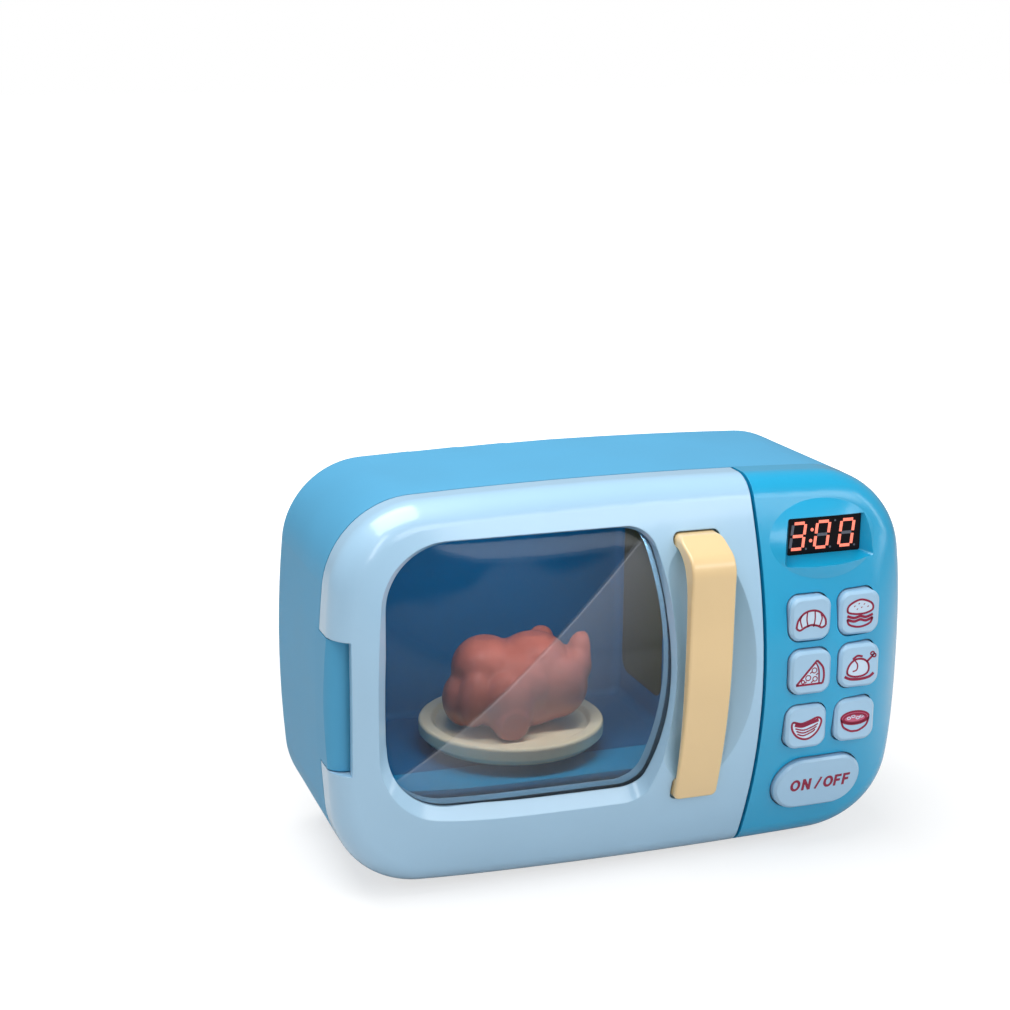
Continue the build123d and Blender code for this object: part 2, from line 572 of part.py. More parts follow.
def window_cut():
    """The bevelled opening, wide at the surface and the pane's size at the back."""
    outer = Plane.XZ.offset(50) * window_outline(**window_flare(-50))
    inner = Plane.XZ.offset(20) * window_outline(**window_flare(-20))
    return loft([inner, outer], ruled=True) + slab(window_outline(), -60, -10)


def hinge_ears():
    """Ribs above and below the notch that take the ends of the hinge pin."""
    ears = []
    for low, high in ((NOTCH_LOW - 9.0, NOTCH_LOW), (NOTCH_HIGH, NOTCH_HIGH + 9.0)):
        ears.append(hinge_post(4.6, low, high))
        ears.append(span_box((-138.5, -125.0), (-24, HINGE_Y), (low, high)))
    return ears


def handle_profile():
    """Side view of the handle in Y and Z: a bowed bar whose ends turn back into the door."""
    knee, top, tail = (-HANDLE_FRONT, 60.8), (-33.4, UPPER_FOOT[1]), (-37.0, LOWER_FOOT[0])
    heel, arch = (-37.7, LOWER_FOOT[1]), (-30.5, UPPER_FOOT[0])
    outline = make_face([
        Spline(knee, (-50.3, 36.0), (-49.4, 5.0), (-44.9, -26.0), tail),
        Line(tail, (LOWER_FOOT_END, LOWER_FOOT[0])),
        Line((LOWER_FOOT_END, LOWER_FOOT[0]), (LOWER_FOOT_END, LOWER_FOOT[1])),
        Line((LOWER_FOOT_END, LOWER_FOOT[1]), heel),
        Spline(heel, (-41.7, -25.0), (-44.4, 12.0), (-44.4, 40.0), (-41.0, 56.0), arch),
        Line(arch, (UPPER_FOOT_END, UPPER_FOOT[0])),
        Line((UPPER_FOOT_END, UPPER_FOOT[0]), (UPPER_FOOT_END, UPPER_FOOT[1])),
        Line((UPPER_FOOT_END, UPPER_FOOT[1]), top),
        Line(top, knee),
    ])
    return fillet(outline.vertices().sort_by_distance(Vector(*knee))[0], 11)


def foot_socket(foot, foot_end, side, end):
    """The space of one foot of the handle, grown at its sides and beyond its end."""
    low, high = foot
    outline = rounded_rect(HANDLE_W + 2 * side, high - low + 2 * side, 2.4 + side, HANDLE_X, (low + high) / 2)
    return slab(outline, -60, foot_end + end)


def handle_sockets(side, end):
    """The spaces of the handle's two feet, or with more growth the walls round those spaces."""
    return (foot_socket(UPPER_FOOT, UPPER_FOOT_END, side, end)
            + foot_socket(LOWER_FOOT, LOWER_FOOT_END, side, end))


def catch_prong(grow=0.0):
    """The door's catch, which presses into a slot of the landing frame."""
    return Pos(50, -27, 8) * Box(3 + 2 * grow, 12, 14 + 2 * grow)


def door_frame():
    """The door's outer moulding: a domed shell with the window, the finger recess and the notch."""
    shell = left_of_split(front_body())
    hollow = left_of_split(front_body(WALL, back=1), WALL)
    within = left_of_split(front_body(1.0), 1.0)
    shell = shell - hollow + (handle_bowl(WALL) & hollow) + (handle_sockets(2.0, 2.2) & within)
    lining = slab(window_outline(left=8, bottom=10, right=4.3, top=5), -60, -5)
    shell += (lining & within) - behind_dome(PANE_INSET - 0.2)
    for ear in hinge_ears():
        shell += ear & left_of_split(front_body(WALL - 0.4), 1)
    for x, z in DOOR_SCREWS:
        shell += rod(x, z, 3.2, -40, -3.4) & within
    shell -= handle_bowl()
    shell -= window_cut()
    shell -= handle_sockets(FOOT_GAP, 0.2)
    shell -= span_box((-200, 200), (-REAR_SEAM, 5), (-120, 120))
    shell -= front_body(LANDING_INSET - 0.6, back=1)
    shell -= span_box((-200, NOTCH_X), (-60, 5), (NOTCH_LOW, NOTCH_HIGH))
    shell -= hinge_post(KNUCKLE_R + 0.6, NOTCH_LOW, NOTCH_HIGH)
    for x, z in DOOR_SCREWS:
        shell -= rod(x, z, 1.0, -12, 0)
    for x, z, foot_end in HANDLE_SCREWS:
        shell -= rod(x, z, 1.3, foot_end - 1, foot_end + 3)
    return shell - hinge_post(PIN_R + RUNNING, NOTCH_LOW - 8.0, NOTCH_HIGH + 8.0)


def door_inner_frame():
    """The door's inner panel: a domed skin with a rim, and a collar that holds the pane."""
    limit = SEAM + WALL
    skin = front_body(DOOR_BACK_INSET - 2.2, back=-1.0) - front_body(DOOR_BACK_INSET, back=1)
    rim = slab(bowed_outline(WALL + 0.5) - bowed_outline(DOOR_BACK_INSET), -3.2, -1.0)
    collar_sketch = window_outline(2.6, 2.6, 2.6, 1.2) - window_outline(0.2, 0.2, 0.2)
    collar = (slab(collar_sketch, -60, -5) & behind_dome(PANE_INSET + PANE_THICK + 0.2)
              ) - behind_dome(DOOR_BACK_INSET - 1)
    inner = left_of_split(skin + rim, limit) + collar
    inner -= slab(window_outline(0.2, 0.2, 0.2), -60, 0)
    inner -= span_box((-200, -121.0), (-60, 5), (NOTCH_LOW - 10, NOTCH_HIGH + 10))
    inner -= slab(bowed_outline(DOOR_BACK_INSET - 1.2), -3.2, 0)
    inner -= handle_bowl(WALL + 0.4)
    for x, z in DOOR_SCREWS:
        inner -= rod(x, z, 1.3, -5, 0)
    return inner + (catch_prong() & behind_dome(DOOR_BACK_INSET - 1.5))


def window_pane():
    """The clear pane, moulded to the same dome as the door's face."""
    pane = slab(window_outline(2.2, 1.4, 2.2, 2.2), -60, -5)
    return (pane & behind_dome(PANE_INSET)) - behind_dome(PANE_INSET + PANE_THICK)


def door_handle():
    """A flat bar that follows the door's dome, turned back into the door at both ends."""
    side = Plane(origin=(HANDLE_X - HANDLE_W / 2, 0, 0), x_dir=(0, 1, 0), z_dir=(1, 0, 0))
    bar = extrude(side * handle_profile(), HANDLE_W)
    bar = fillet([e for e in flank_edges(bar) if e.length > 60 and e.center().Y > -46], 1.0)
    tips = (UPPER_FOOT[1], LOWER_FOOT[0])
    bar = fillet([e for e in bar.edges() if abs(e.tangent_at(0.5).Y) > 0.9 and e.center().Y > -40
                  and min(abs(e.center().Z - tip) for tip in tips) < 0.1], 3.0)
    front = [e for e in flank_edges(bar) if e.center().Y < (-39 if e.center().Z > 58 else -46)]
    bar = fillet(front, 1.2)
    for x, z, foot_end in HANDLE_SCREWS:
        bar -= rod(x, z, 0.95, foot_end - 6, foot_end + 1)
    return bar


def flank_edges(bar):
    """The handle's edges along its left and right flanks."""
    return [e for e in bar.edges() if abs(e.center().X - HANDLE_X) > HANDLE_W / 2 - 0.1]


# ---- Turntable, food and drive ----

def turntable_plate():
    """A shallow plate, with a boss under it whose slot takes the drive hub's key."""
    well = PLATE_TOP - PLATE_WELL
    under = well - 2.4
    profile = Plane.XZ * Polyline(
        (0, well), (PLATE_R - 8, well), (PLATE_R - 6, PLATE_TOP), (PLATE_R, PLATE_TOP),
        (PLATE_R, PLATE_BOTTOM + 3), (PLATE_R - 3, PLATE_BOTTOM), (PLATE_R - 6, PLATE_BOTTOM),
        (PLATE_R - 6, under), (12, under), (12, PLATE_BOTTOM), (0, PLATE_BOTTOM), (0, well))
    plate = revolve(make_face(profile), Axis.Z)
    rims = plate.edges().filter_by(GeomType.CIRCLE).filter_by(
        lambda e: e.radius > PLATE_R - 6.5 and e.center().Z > PLATE_TOP - 1)
    plate = Pos(TABLE_X, TABLE_Y) * fillet(rims, 1.5)
    return plate - Pos(TABLE_X, TABLE_Y, PLATE_BOTTOM) * Box(14.6, 4.6, 7.2)


def drive_hub():
    """The driven shaft: a key under the plate, a seat for the plate's boss, and a stepped shaft."""
    seat_top = PLATE_BOTTOM
    hub = post(TABLE_X, TABLE_Y, 8.0, CAVITY_FLOOR + 0.4, seat_top)
    hub += Pos(TABLE_X, TABLE_Y, seat_top + 1.6) * Box(14, 4, 3.2)
    hub += post(TABLE_X, TABLE_Y, SHAFT_R + 2, OUTPUT_Z + 5.0, CAVITY_FLOOR + 0.5)
    return hub + post(TABLE_X, TABLE_Y, SHAFT_R, GEARBOX_LOW - 2.0, OUTPUT_Z + 5.2)


def involute_gear(teeth, thickness, first_tooth=0.0, pressure=20.0):
    """A spur gear about Z whose flanks are involutes of the base circle, in short chords."""
    pitch_r = GEAR_MODULE * teeth / 2
    base_r = pitch_r * cos(radians(pressure))
    root_r, tip_r = pitch_r - 1.2 * GEAR_MODULE, pitch_r + 0.85 * GEAR_MODULE

    def involute(angle):
        return tan(angle) - angle

    def half_angle(radius):
        at_pitch = (pi * GEAR_MODULE / 2 - GEAR_BACKLASH) / (2 * pitch_r)
        roll = acos(min(1.0, base_r / radius))
        return at_pitch + involute(radians(pressure)) - involute(roll)

    radii = [root_r, max(base_r, root_r), pitch_r, (pitch_r + tip_r) / 2, tip_r]
    points = []
    for tooth in range(teeth):
        middle = radians(first_tooth) + 2 * pi * tooth / teeth
        rising = [(radius, middle - half_angle(radius)) for radius in radii]
        falling = [(radius, middle + half_angle(radius)) for radius in reversed(radii)]
        points += [(radius * cos(a), radius * sin(a)) for radius, a in rising + falling]
    return extrude(make_face(Polyline(*points, close=True)), thickness)


def output_gear():
    gear = Pos(TABLE_X, TABLE_Y, OUTPUT_Z) * involute_gear(OUTPUT_TEETH, 4)
    gear += post(TABLE_X, TABLE_Y, 6.0, OUTPUT_Z - 3.0, OUTPUT_Z + 4.8)
    for i in range(5):
        turn = Rot(0, 0, 72 * i + 36)
        gear -= Pos(TABLE_X, TABLE_Y, OUTPUT_Z + 2) * turn * Pos(10.8, 0) * Cylinder(3.2, 6)
    return gear - post(TABLE_X, TABLE_Y, SHAFT_R, OUTPUT_Z - 4, OUTPUT_Z + 6)


def idler_gear():
    """Compound idler: the wide wheel meets the motor's pinion, the small one the output gear."""
    half_tooth = 180 / PINION_TEETH
    wheel = Pos(IDLER_X, TABLE_Y, IDLER_Z) * involute_gear(IDLER_TEETH, 4)
    small = Pos(IDLER_X, TABLE_Y, IDLER_Z + 3.9) * involute_gear(PINION_TEETH, 7.4, 180 + half_tooth)
    gear = wheel + small
    return gear - post(IDLER_X, TABLE_Y, PIN_R + RUNNING, IDLER_Z - 1, OUTPUT_Z + 6)


def motor_pinion():
    half_tooth = 180 / PINION_TEETH
    pinion = Pos(MOTOR_X, TABLE_Y, IDLER_Z - 0.5) * involute_gear(PINION_TEETH, 5.5, 180 + half_tooth)
    return pinion - post(MOTOR_X, TABLE_Y, 1.0, IDLER_Z - 2, IDLER_Z + 6)


def drive_motor():
    """A small can motor, its flats towards the front and back, held under the gear frame."""
    can = extrude(Plane.XY.offset(MOTOR_LOW) * motor_outline(), GEARBOX_LOW - 2.5 - MOTOR_LOW)
    can += post(MOTOR_X, TABLE_Y, 3.0, GEARBOX_LOW - 3.0, GEARBOX_LOW - 1.0)
    for side in (-1, 1):
        can += Pos(MOTOR_X + 6 * side, TABLE_Y, MOTOR_LOW - 0.5) * Box(2.4, 0.5, 2.5)
    return can - post(MOTOR_X, TABLE_Y, 1.0 + RUNNING, MOTOR_LOW + 12, GEARBOX_LOW)


def motor_outline(grow=0.0):
    flats = Pos(MOTOR_X, TABLE_Y) * Rectangle(30, 15.2 + 2 * grow)
    return Pos(MOTOR_X, TABLE_Y) * Circle(10 + grow) & flats


def motor_shaft():
    return post(MOTOR_X, TABLE_Y, 1.0, MOTOR_LOW + 12.5, IDLER_Z + 5.2)


def gear_frame_sketch():
    """Plan of the two gear frame plates: a hull round the gears and the four screws."""
    gears = Pos(TABLE_X, TABLE_Y) * Circle(20.6) + Pos(MOTOR_X, TABLE_Y) * Circle(15)
    ears = [Pos(x, y) * Circle(4.6) for x, y in GEAR_FRAME_SCREWS]
    return make_hull((gears + ears).edges())


def gear_frame_top():
    """Upper plate: the liner's posts pass through it, and it carries the upper bearings."""
    plate = extrude(Plane.XY.offset(GEARBOX_HIGH) * gear_frame_sketch(), 2.2)
    plate -= post(TABLE_X, TABLE_Y, SHAFT_R + 2 + RUNNING, GEARBOX_HIGH - 1, GEARBOX_HIGH + 3)
    plate -= post(IDLER_X, TABLE_Y, PIN_R, GEARBOX_HIGH - 1, GEARBOX_HIGH + 3)
    for x, y in GEAR_FRAME_SCREWS:
        plate -= post(x, y, 3.5, GEARBOX_HIGH - 1, GEARBOX_HIGH + 3)
    return plate


def gear_frame_base():
    """Lower plate with a skirt round the gears, bearings, screw posts and the motor's socket."""
    sketch = gear_frame_sketch()
    base = extrude(Plane.XY.offset(GEARBOX_LOW - 2.2) * sketch, 2.2)
    base += extrude(Plane.XY.offset(GEARBOX_LOW) * (sketch - offset(sketch, -1.3)),
                    GEARBOX_HIGH - GEARBOX_LOW - 0.2)
    base += post(TABLE_X, TABLE_Y, SHAFT_R + 2, GEARBOX_LOW - 4.5, GEARBOX_LOW)
    base += extrude(Plane.XY.offset(GEARBOX_LOW - 9.0) * (motor_outline(1.6) - motor_outline(0.2)), 7.0)
    for x, y in GEAR_FRAME_SCREWS:
        base += post(x, y, 3.2, GEARBOX_LOW - 1, LINER_POST_END - 0.2)
        base -= post(x, y, 1.3, GEARBOX_LOW - 3, LINER_POST_END)
    base -= post(TABLE_X, TABLE_Y, SHAFT_R + RUNNING, GEARBOX_LOW - 3.2, GEARBOX_LOW + 1)
    base -= post(IDLER_X, TABLE_Y, PIN_R, GEARBOX_LOW - 3, GEARBOX_LOW + 1)
    base -= post(MOTOR_X, TABLE_Y, 3.2, GEARBOX_LOW - 3, GEARBOX_LOW + 1)
    return base


def gear_frame_screws():
    """Screws driven up through the base's posts into the liner's."""
    length = 14.0
    up = Pos(0, 0, GEARBOX_LOW - 2.2 + length) * Rot(180, 0, 0) * screw(2.3, 1.4, 0.9, length)
    return [Pos(x, y) * up for x, y in GEAR_FRAME_SCREWS]


def idler_axle():
    return post(IDLER_X, TABLE_Y, PIN_R, GEARBOX_LOW - 2.2, GEARBOX_HIGH + 2.2)


def blob(x, y, z, rx, ry, rz, tilt=0.0, turn=0.0):
    """An ellipsoid, tilted about Y and then turned about Z."""
    return Pos(x, y, z) * Rot(0, 0, turn) * Rot(0, tilt, 0) * scale(Sphere(1), by=(rx, ry, rz))


def toy_chicken():
    """A roast chicken: body, breast, drumsticks with knuckles, wings and a tail."""
    sit = PLATE_TOP - PLATE_WELL
    x, y = TABLE_X + 1.0, TABLE_Y - 2.0
    bird = blob(x, y, sit + 20.5, 29, 22, 21)
    bird += blob(x + 8, y, sit + 26, 20, 17, 17, tilt=-20)
    for side in (-1, 1):
        bird += blob(x + 13, y + side * 17, sit + 16, 17, 9.5, 12, tilt=-25, turn=side * 12)
        bird += blob(x + 26, y + side * 13, sit + 32, 7.5, 7, 7)
        bird += blob(x - 16, y + side * 18, sit + 17, 13, 7.5, 9, tilt=20, turn=-side * 10)
    bird += blob(x - 27, y, sit + 17, 9, 9, 8)
    return bird & span_box((x - 60, x + 60), (y - 60, y + 60), (sit + 0.2, sit + 70))


# ---- Feet ----

def feet():
    """Soft pads under the casing, their tops shaped to its bowed underside."""
    pads = []
    for x in (-92.0, 92.0):
        for y in (11.0, 76.0 - FOOT_R):
            pads.append(post(x, y, FOOT_R, -HALF_H - FOOT_HEIGHT, -HALF_H + 6) - case_block())
    return pads


# ---- Output ----

def group(solids):
    return Compound(children=[s for shape in solids for s in shape.solids()])


write("rear_housing", rear_housing())
write("front_bezel", front_bezel())
write("cavity_liner", cavity_liner())
write("light_cover", light_cover())
write("cavity_led", cavity_led())
write("door_frame", door_frame())
write("door_inner_frame", door_inner_frame())
write("window_pane", window_pane())
write("door_handle", door_handle())
write("hinge_pin", hinge_post(PIN_R, NOTCH_LOW - 7.8, NOTCH_HIGH + 7.8))
write("display_module", display_module())
write("control_board", control_board())
write("tact_switches", group([tact_switch(x, z) for x, z in button_places() + [(START_X, START_Z)]]))
for row, z in enumerate(BUTTON_ROWS):
    for column, x in enumerate(BUTTON_COLUMNS):
        write(f"food_button_{1 + 2 * row + column}", square_button(x, z))
write("start_button", start_button())
write("speaker", speaker())
write("battery_cells", group(battery_cells()))
write("battery_contacts", group(battery_contacts()))
write("battery_cover", battery_cover())
write("cover_screw", group(screws_facing_back([COVER_SCREW], CASE_DEPTH - 9, 2.7, 1.1, 1.0, 7.8)))
write("housing_screws", group(screws_facing_back(COLUMNS, 11.0, 2.6, 2.0, 1.1, COLUMN_FRONT - 6.0)))
write("board_screws", group(screws_facing_back(BOARD_POSTS, -21.0, 2.2, 1.4, 0.9,
                                              BOARD_FRONT + BOARD_THICK + 21.0)))
write("door_screws", group(screws_facing_back(DOOR_SCREWS, -9.0, 2.2, 1.2, 0.9, 8.0)))
write("handle_screws", group([Pos(x, end - 5, z) * Rot(-90, 0, 0) * screw(2.4, 1.3, 0.9, 7.2)
                              for x, z, end in HANDLE_SCREWS]))
write("liner_screws", group(screws_facing_back(LINER_SCREWS, 2.2, 2.2, 1.4, 0.9, FLANGE_Y + FLANGE_THICK)))
write("turntable_plate", turntable_plate())
write("drive_hub", drive_hub())
write("output_gear", output_gear())
write("idler_gear", idler_gear())
write("idler_axle", idler_axle())
write("motor_pinion", motor_pinion())
write("motor_shaft", motor_shaft())
write("drive_motor", drive_motor())
write("gear_frame_top", gear_frame_top())
write("gear_frame_base", gear_frame_base())
write("gear_frame_screws", group(gear_frame_screws()))
write("toy_chicken", toy_chicken())
write("feet", group(feet()))
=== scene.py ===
import json
import math

import bmesh
import bpy
from mathutils import Matrix, Vector

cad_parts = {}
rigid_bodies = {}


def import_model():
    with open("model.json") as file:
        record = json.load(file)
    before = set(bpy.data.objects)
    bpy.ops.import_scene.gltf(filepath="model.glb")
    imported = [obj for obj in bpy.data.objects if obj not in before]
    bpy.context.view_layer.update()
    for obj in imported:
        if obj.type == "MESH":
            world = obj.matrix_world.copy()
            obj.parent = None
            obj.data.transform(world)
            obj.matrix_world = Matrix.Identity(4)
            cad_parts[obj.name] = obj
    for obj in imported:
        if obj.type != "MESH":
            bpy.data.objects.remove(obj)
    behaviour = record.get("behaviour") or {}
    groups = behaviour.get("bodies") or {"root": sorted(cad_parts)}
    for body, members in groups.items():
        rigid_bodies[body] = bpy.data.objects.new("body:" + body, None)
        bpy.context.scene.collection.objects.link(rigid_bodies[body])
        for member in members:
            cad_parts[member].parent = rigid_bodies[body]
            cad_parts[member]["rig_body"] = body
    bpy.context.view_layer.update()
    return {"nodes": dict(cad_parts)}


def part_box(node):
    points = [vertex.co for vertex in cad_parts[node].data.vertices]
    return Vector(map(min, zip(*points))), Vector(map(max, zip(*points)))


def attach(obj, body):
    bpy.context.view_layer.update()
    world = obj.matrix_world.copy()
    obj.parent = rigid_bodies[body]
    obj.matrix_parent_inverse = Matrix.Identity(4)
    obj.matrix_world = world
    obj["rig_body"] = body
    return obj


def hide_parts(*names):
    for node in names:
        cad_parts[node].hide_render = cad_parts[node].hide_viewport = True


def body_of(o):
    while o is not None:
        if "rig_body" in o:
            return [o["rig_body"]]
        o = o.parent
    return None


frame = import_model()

MM = 0.001
NODES = frame["nodes"]

# The CAD's drawing frame has its zero in the middle of the seam between the front and the casing.
# In the row frame that zero is at x = 0 and at these two, in millimetres.
SEAM_Y, MIDDLE_Z = -18.75, 94.0


def at(x, y, z):
    """A point given in millimetres about the middle of the seam, in the row frame in metres."""
    return Vector((x * MM, (y + SEAM_Y) * MM, (z + MIDDLE_Z) * MM))


def add_object(name, data):
    """A new object in the scene."""
    made = bpy.data.objects.new(name, data)
    bpy.context.scene.collection.objects.link(made)
    return made


# ---- Shader nodes ----

PURE_WHITE = (1, 1, 1, 1)


def fill_inputs(tree, node, values):
    """Fills a node's inputs, by name or number, with numbers, colours or other nodes' outputs."""
    for key, value in values.items():
        if isinstance(value, bpy.types.NodeSocket):
            tree.links.new(value, node.inputs[key])
        else:
            node.inputs[key].default_value = value
    return node


def put(tree, kind, values):
    """Adds a shader node with these inputs."""
    return fill_inputs(tree, tree.nodes.new("ShaderNode" + kind), values)


def mix(tree, share, first, second):
    """Goes from the first shader to the second as share goes from 0 to 1."""
    return put(tree, "MixShader", {"Fac": share, 1: first.outputs[0], 2: second.outputs[0]})


def calc(tree, operation, *values):
    """One sum of numbers or outputs."""
    node = tree.nodes.new("ShaderNodeMath")
    node.operation = operation
    return fill_inputs(tree, node, dict(enumerate(values))).outputs[0]


def fade(tree, value, start, end, low, high):
    """Goes evenly from low to high as value goes from start to end."""
    reach = {"From Min": start, "From Max": end, "To Min": low, "To Max": high}
    return put(tree, "MapRange", {"Value": value, **reach}).outputs[0]


def own_place(tree):
    """Places in the piece's own coordinates, so that what is drawn with them moves with the piece."""
    return put(tree, "TexCoord", {}).outputs["Object"]


def noise(tree, scale, detail=2):
    """Noise from 0 to 1 over the piece."""
    values = {"Vector": own_place(tree), "Scale": scale, "Detail": detail}
    return put(tree, "TexNoise", values).outputs["Fac"]


def shade(colour, factor):
    """A colour made darker or lighter."""
    return tuple(min(1, part * factor) for part in colour[:3]) + (1,)


def blend(tree, value, low, high, start=0.0, end=1.0):
    """Goes from one colour to another as value goes from start to end."""
    ramp = put(tree, "ValToRGB", {"Fac": value})
    first, last = ramp.color_ramp.elements
    first.color, first.position = low, start
    last.color, last.position = high, end
    return ramp.outputs["Color"]


def new_material(name):
    """A material and its node tree, which starts with a Principled shader and an output."""
    material = bpy.data.materials.new(name)
    material.use_nodes = True
    return material, material.node_tree


# ---- Camera, floor and light ----

# The camera as it was fitted to the photograph: its direction and distance from the drawing frame's
# zero in millimetres, its lens, and how far right of the picture's middle and below it that zero shows.
CAMERA_AZIMUTH = math.radians(-22.39)
CAMERA_ELEVATION = math.radians(19.01)
CAMERA_ROLL = math.radians(0.49)
CAMERA_DISTANCE = 958.6
CAMERA_FOCAL_PX, IMAGE_PX, SENSOR_MM = 2051.6, 1010, 36.0
CAMERA_NEAR_M = 0.01
ZERO_RIGHT_PX, ZERO_BELOW_PX = 109.66, 156.49

SKY_COLOUR, SKY_STRENGTH = (0.96, 0.98, 1.0, 1), 0.3

# The floor's colour, and the white glow that the camera sees mixed into it. The glow's share grows
# from GLOW_LEAST to all of it between these two distances from the oven's middle, in metres.
FLOOR_HALF = 6.0
FLOOR_COLOUR = (0.62, 0.62, 0.62, 1)
GLOW_STRENGTH, GLOW_LEAST = 1.5, 0.45
GLOW_NEAR, GLOW_FAR = 0.22, 0.8


def level_axes(forward):
    """Right and up of a level camera that looks forward."""
    right = forward.cross(Vector((0, 0, 1))).normalized()
    return right, right.cross(forward)


def camera_axes():
    """The camera's right, up and back as unit vectors, and its place in millimetres."""
    back = Vector((math.sin(CAMERA_AZIMUTH) * math.cos(CAMERA_ELEVATION),
                   -math.cos(CAMERA_AZIMUTH) * math.cos(CAMERA_ELEVATION),
                   math.sin(CAMERA_ELEVATION)))
    right, up = level_axes(-back)
    aside, above = ZERO_RIGHT_PX / CAMERA_FOCAL_PX, ZERO_BELOW_PX / CAMERA_FOCAL_PX
    forward = (-back - right * aside + up * above).normalized()
    right, up = level_axes(forward)
    turned_right = math.cos(CAMERA_ROLL) * right + math.sin(CAMERA_ROLL) * up
    turned_up = -math.sin(CAMERA_ROLL) * right + math.cos(CAMERA_ROLL) * up
    return turned_right, turned_up, -forward, back * CAMERA_DISTANCE


def add_camera():
    """The camera that took the photograph."""
    data = bpy.data.cameras.new("camera")
    data.sensor_width = SENSOR_MM
    data.lens = CAMERA_FOCAL_PX * SENSOR_MM / IMAGE_PX
    data.clip_start = CAMERA_NEAR_M
    camera = add_object("camera", data)
    right, up, back, place = camera_axes()
    turn = Matrix((right, up, back)).transposed().to_4x4()
    camera.matrix_world = Matrix.Translation(at(*place)) @ turn
    bpy.context.scene.camera = camera


def add_area(name, place, target, size, power):
    """A rectangular lamp at a place, turned to its target."""
    data = bpy.data.lights.new(name, "AREA")
    data.shape = "RECTANGLE"
    data.size, data.size_y = size
    data.energy = power
    lamp = add_object(name, data)
    lamp.location = place
    lamp.rotation_euler = (Vector(target) - Vector(place)).to_track_quat("-Z", "Y").to_euler()
    return lamp


def add_world():
    """A soft sky for light, which the camera itself sees as plain white."""
    world = bpy.data.worlds.new("world")
    bpy.context.scene.world = world
    world.use_nodes = True
    tree = world.node_tree
    tree.nodes.clear()
    sky = put(tree, "Background", {"Color": SKY_COLOUR, "Strength": SKY_STRENGTH})
    seen = put(tree, "Background", {"Color": PURE_WHITE, "Strength": 1.0})
    path = put(tree, "LightPath", {})
    surface = mix(tree, path.outputs["Is Camera Ray"], sky, seen)
    put(tree, "OutputWorld", {"Surface": surface.outputs[0]})


def add_floor():
    """A floor that takes the oven's shadow and turns to plain white away from it."""
    half = FLOOR_HALF
    corners = [(-half, -half, 0), (half, -half, 0), (half, half, 0), (-half, half, 0)]
    mesh = bpy.data.meshes.new("floor")
    mesh.from_pydata(corners, [], [(0, 1, 2, 3)])
    floor = add_object("floor", mesh)
    material, tree = new_material("floor_white")
    tree.nodes.clear()
    plain = put(tree, "BsdfDiffuse", {"Color": FLOOR_COLOUR})
    glow = put(tree, "Emission", {"Color": PURE_WHITE, "Strength": GLOW_STRENGTH})
    path = put(tree, "LightPath", {})
    distance = put(tree, "VectorMath", {0: own_place(tree)})
    distance.operation = "LENGTH"
    far = put(tree, "MapRange", {"Value": distance.outputs["Value"], "From Min": GLOW_NEAR,
                                 "From Max": GLOW_FAR, "To Min": GLOW_LEAST})
    far.interpolation_type = "SMOOTHSTEP"
    share = calc(tree, "MULTIPLY", path.outputs["Is Camera Ray"], far.outputs[0])
    surface = mix(tree, share, plain, glow)
    put(tree, "OutputMaterial", {"Surface": surface.outputs[0]})
    mesh.materials.append(material)


# ---- Materials ----

PLASTIC_IOR, PANE_IOR = 1.5, 1.33
# Where in its noise the mottle is darkest and lightest, and how far a face's roughness strays below
# and above the one that its material names.
MOTTLE_START, MOTTLE_END = 0.3, 0.7
ROUGH_BELOW, ROUGH_ABOVE = 0.04, 0.05
# The bump: its noise's scale on a grained face and on a smooth one, how strong it is on a smooth one,
# and its depth in metres.
GRAIN_SCALE, SMOOTH_SCALE, SMOOTH_BUMP = 2600, 260, 0.04
BUMP_DEPTH = 0.0002
EDGE_SAMPLES = 6
# How uneven a clear piece's tint is.
TINT_SCALE, TINT_DARKER = 14, 0.96


def srgb(r, g, b):
    """A screen colour, 0 to 255, as the linear values that a shader takes."""
    def linear(v):
        v /= 255
        return v / 12.92 if v <= 0.04045 else ((v + 0.055) / 1.055) ** 2.4
    return (linear(r), linear(g), linear(b), 1.0)


def plastic(name, colour, roughness=0.34, grain=0.0, mottle=0.035, coat=0.5, coat_roughness=0.12,
            edge=0.5, metal=0.0, wear=18.0, shine=0.5):
    """Moulded plastic: a faint mottle in the colour, uneven gloss, a fine bump and softened edges.

    grain is how strong a moulded texture is, edge is the edges' radius in millimetres and wear is the
    scale of the mottle's noise.
    """
    material, tree = new_material(name)
    mottle_and_wavy_glare = noise(tree, wear, 3)
    darker, lighter = shade(colour, 1 - mottle), shade(colour, 1 + mottle)
    bump = put(tree, "Bump", {"Height": noise(tree, GRAIN_SCALE if grain else SMOOTH_SCALE),
                              "Strength": grain or SMOOTH_BUMP, "Distance": BUMP_DEPTH})
    if edge:
        soft = put(tree, "Bevel", {"Radius": edge * MM})
        soft.samples = EDGE_SAMPLES
        tree.links.new(soft.outputs[0], bump.inputs["Normal"])
    fill_inputs(tree, tree.nodes["Principled BSDF"], {
        "Base Color": blend(tree, mottle_and_wavy_glare, darker, lighter, MOTTLE_START, MOTTLE_END),
        "Roughness": fade(tree, mottle_and_wavy_glare, 0.0, 1.0, roughness - ROUGH_BELOW, roughness + ROUGH_ABOVE),
        "Normal": bump.outputs[0],
        "IOR": PLASTIC_IOR,
        "Metallic": metal,
        "Specular IOR Level": shine,
        "Coat Weight": coat,
        "Coat Roughness": coat_roughness,
    })
    return material


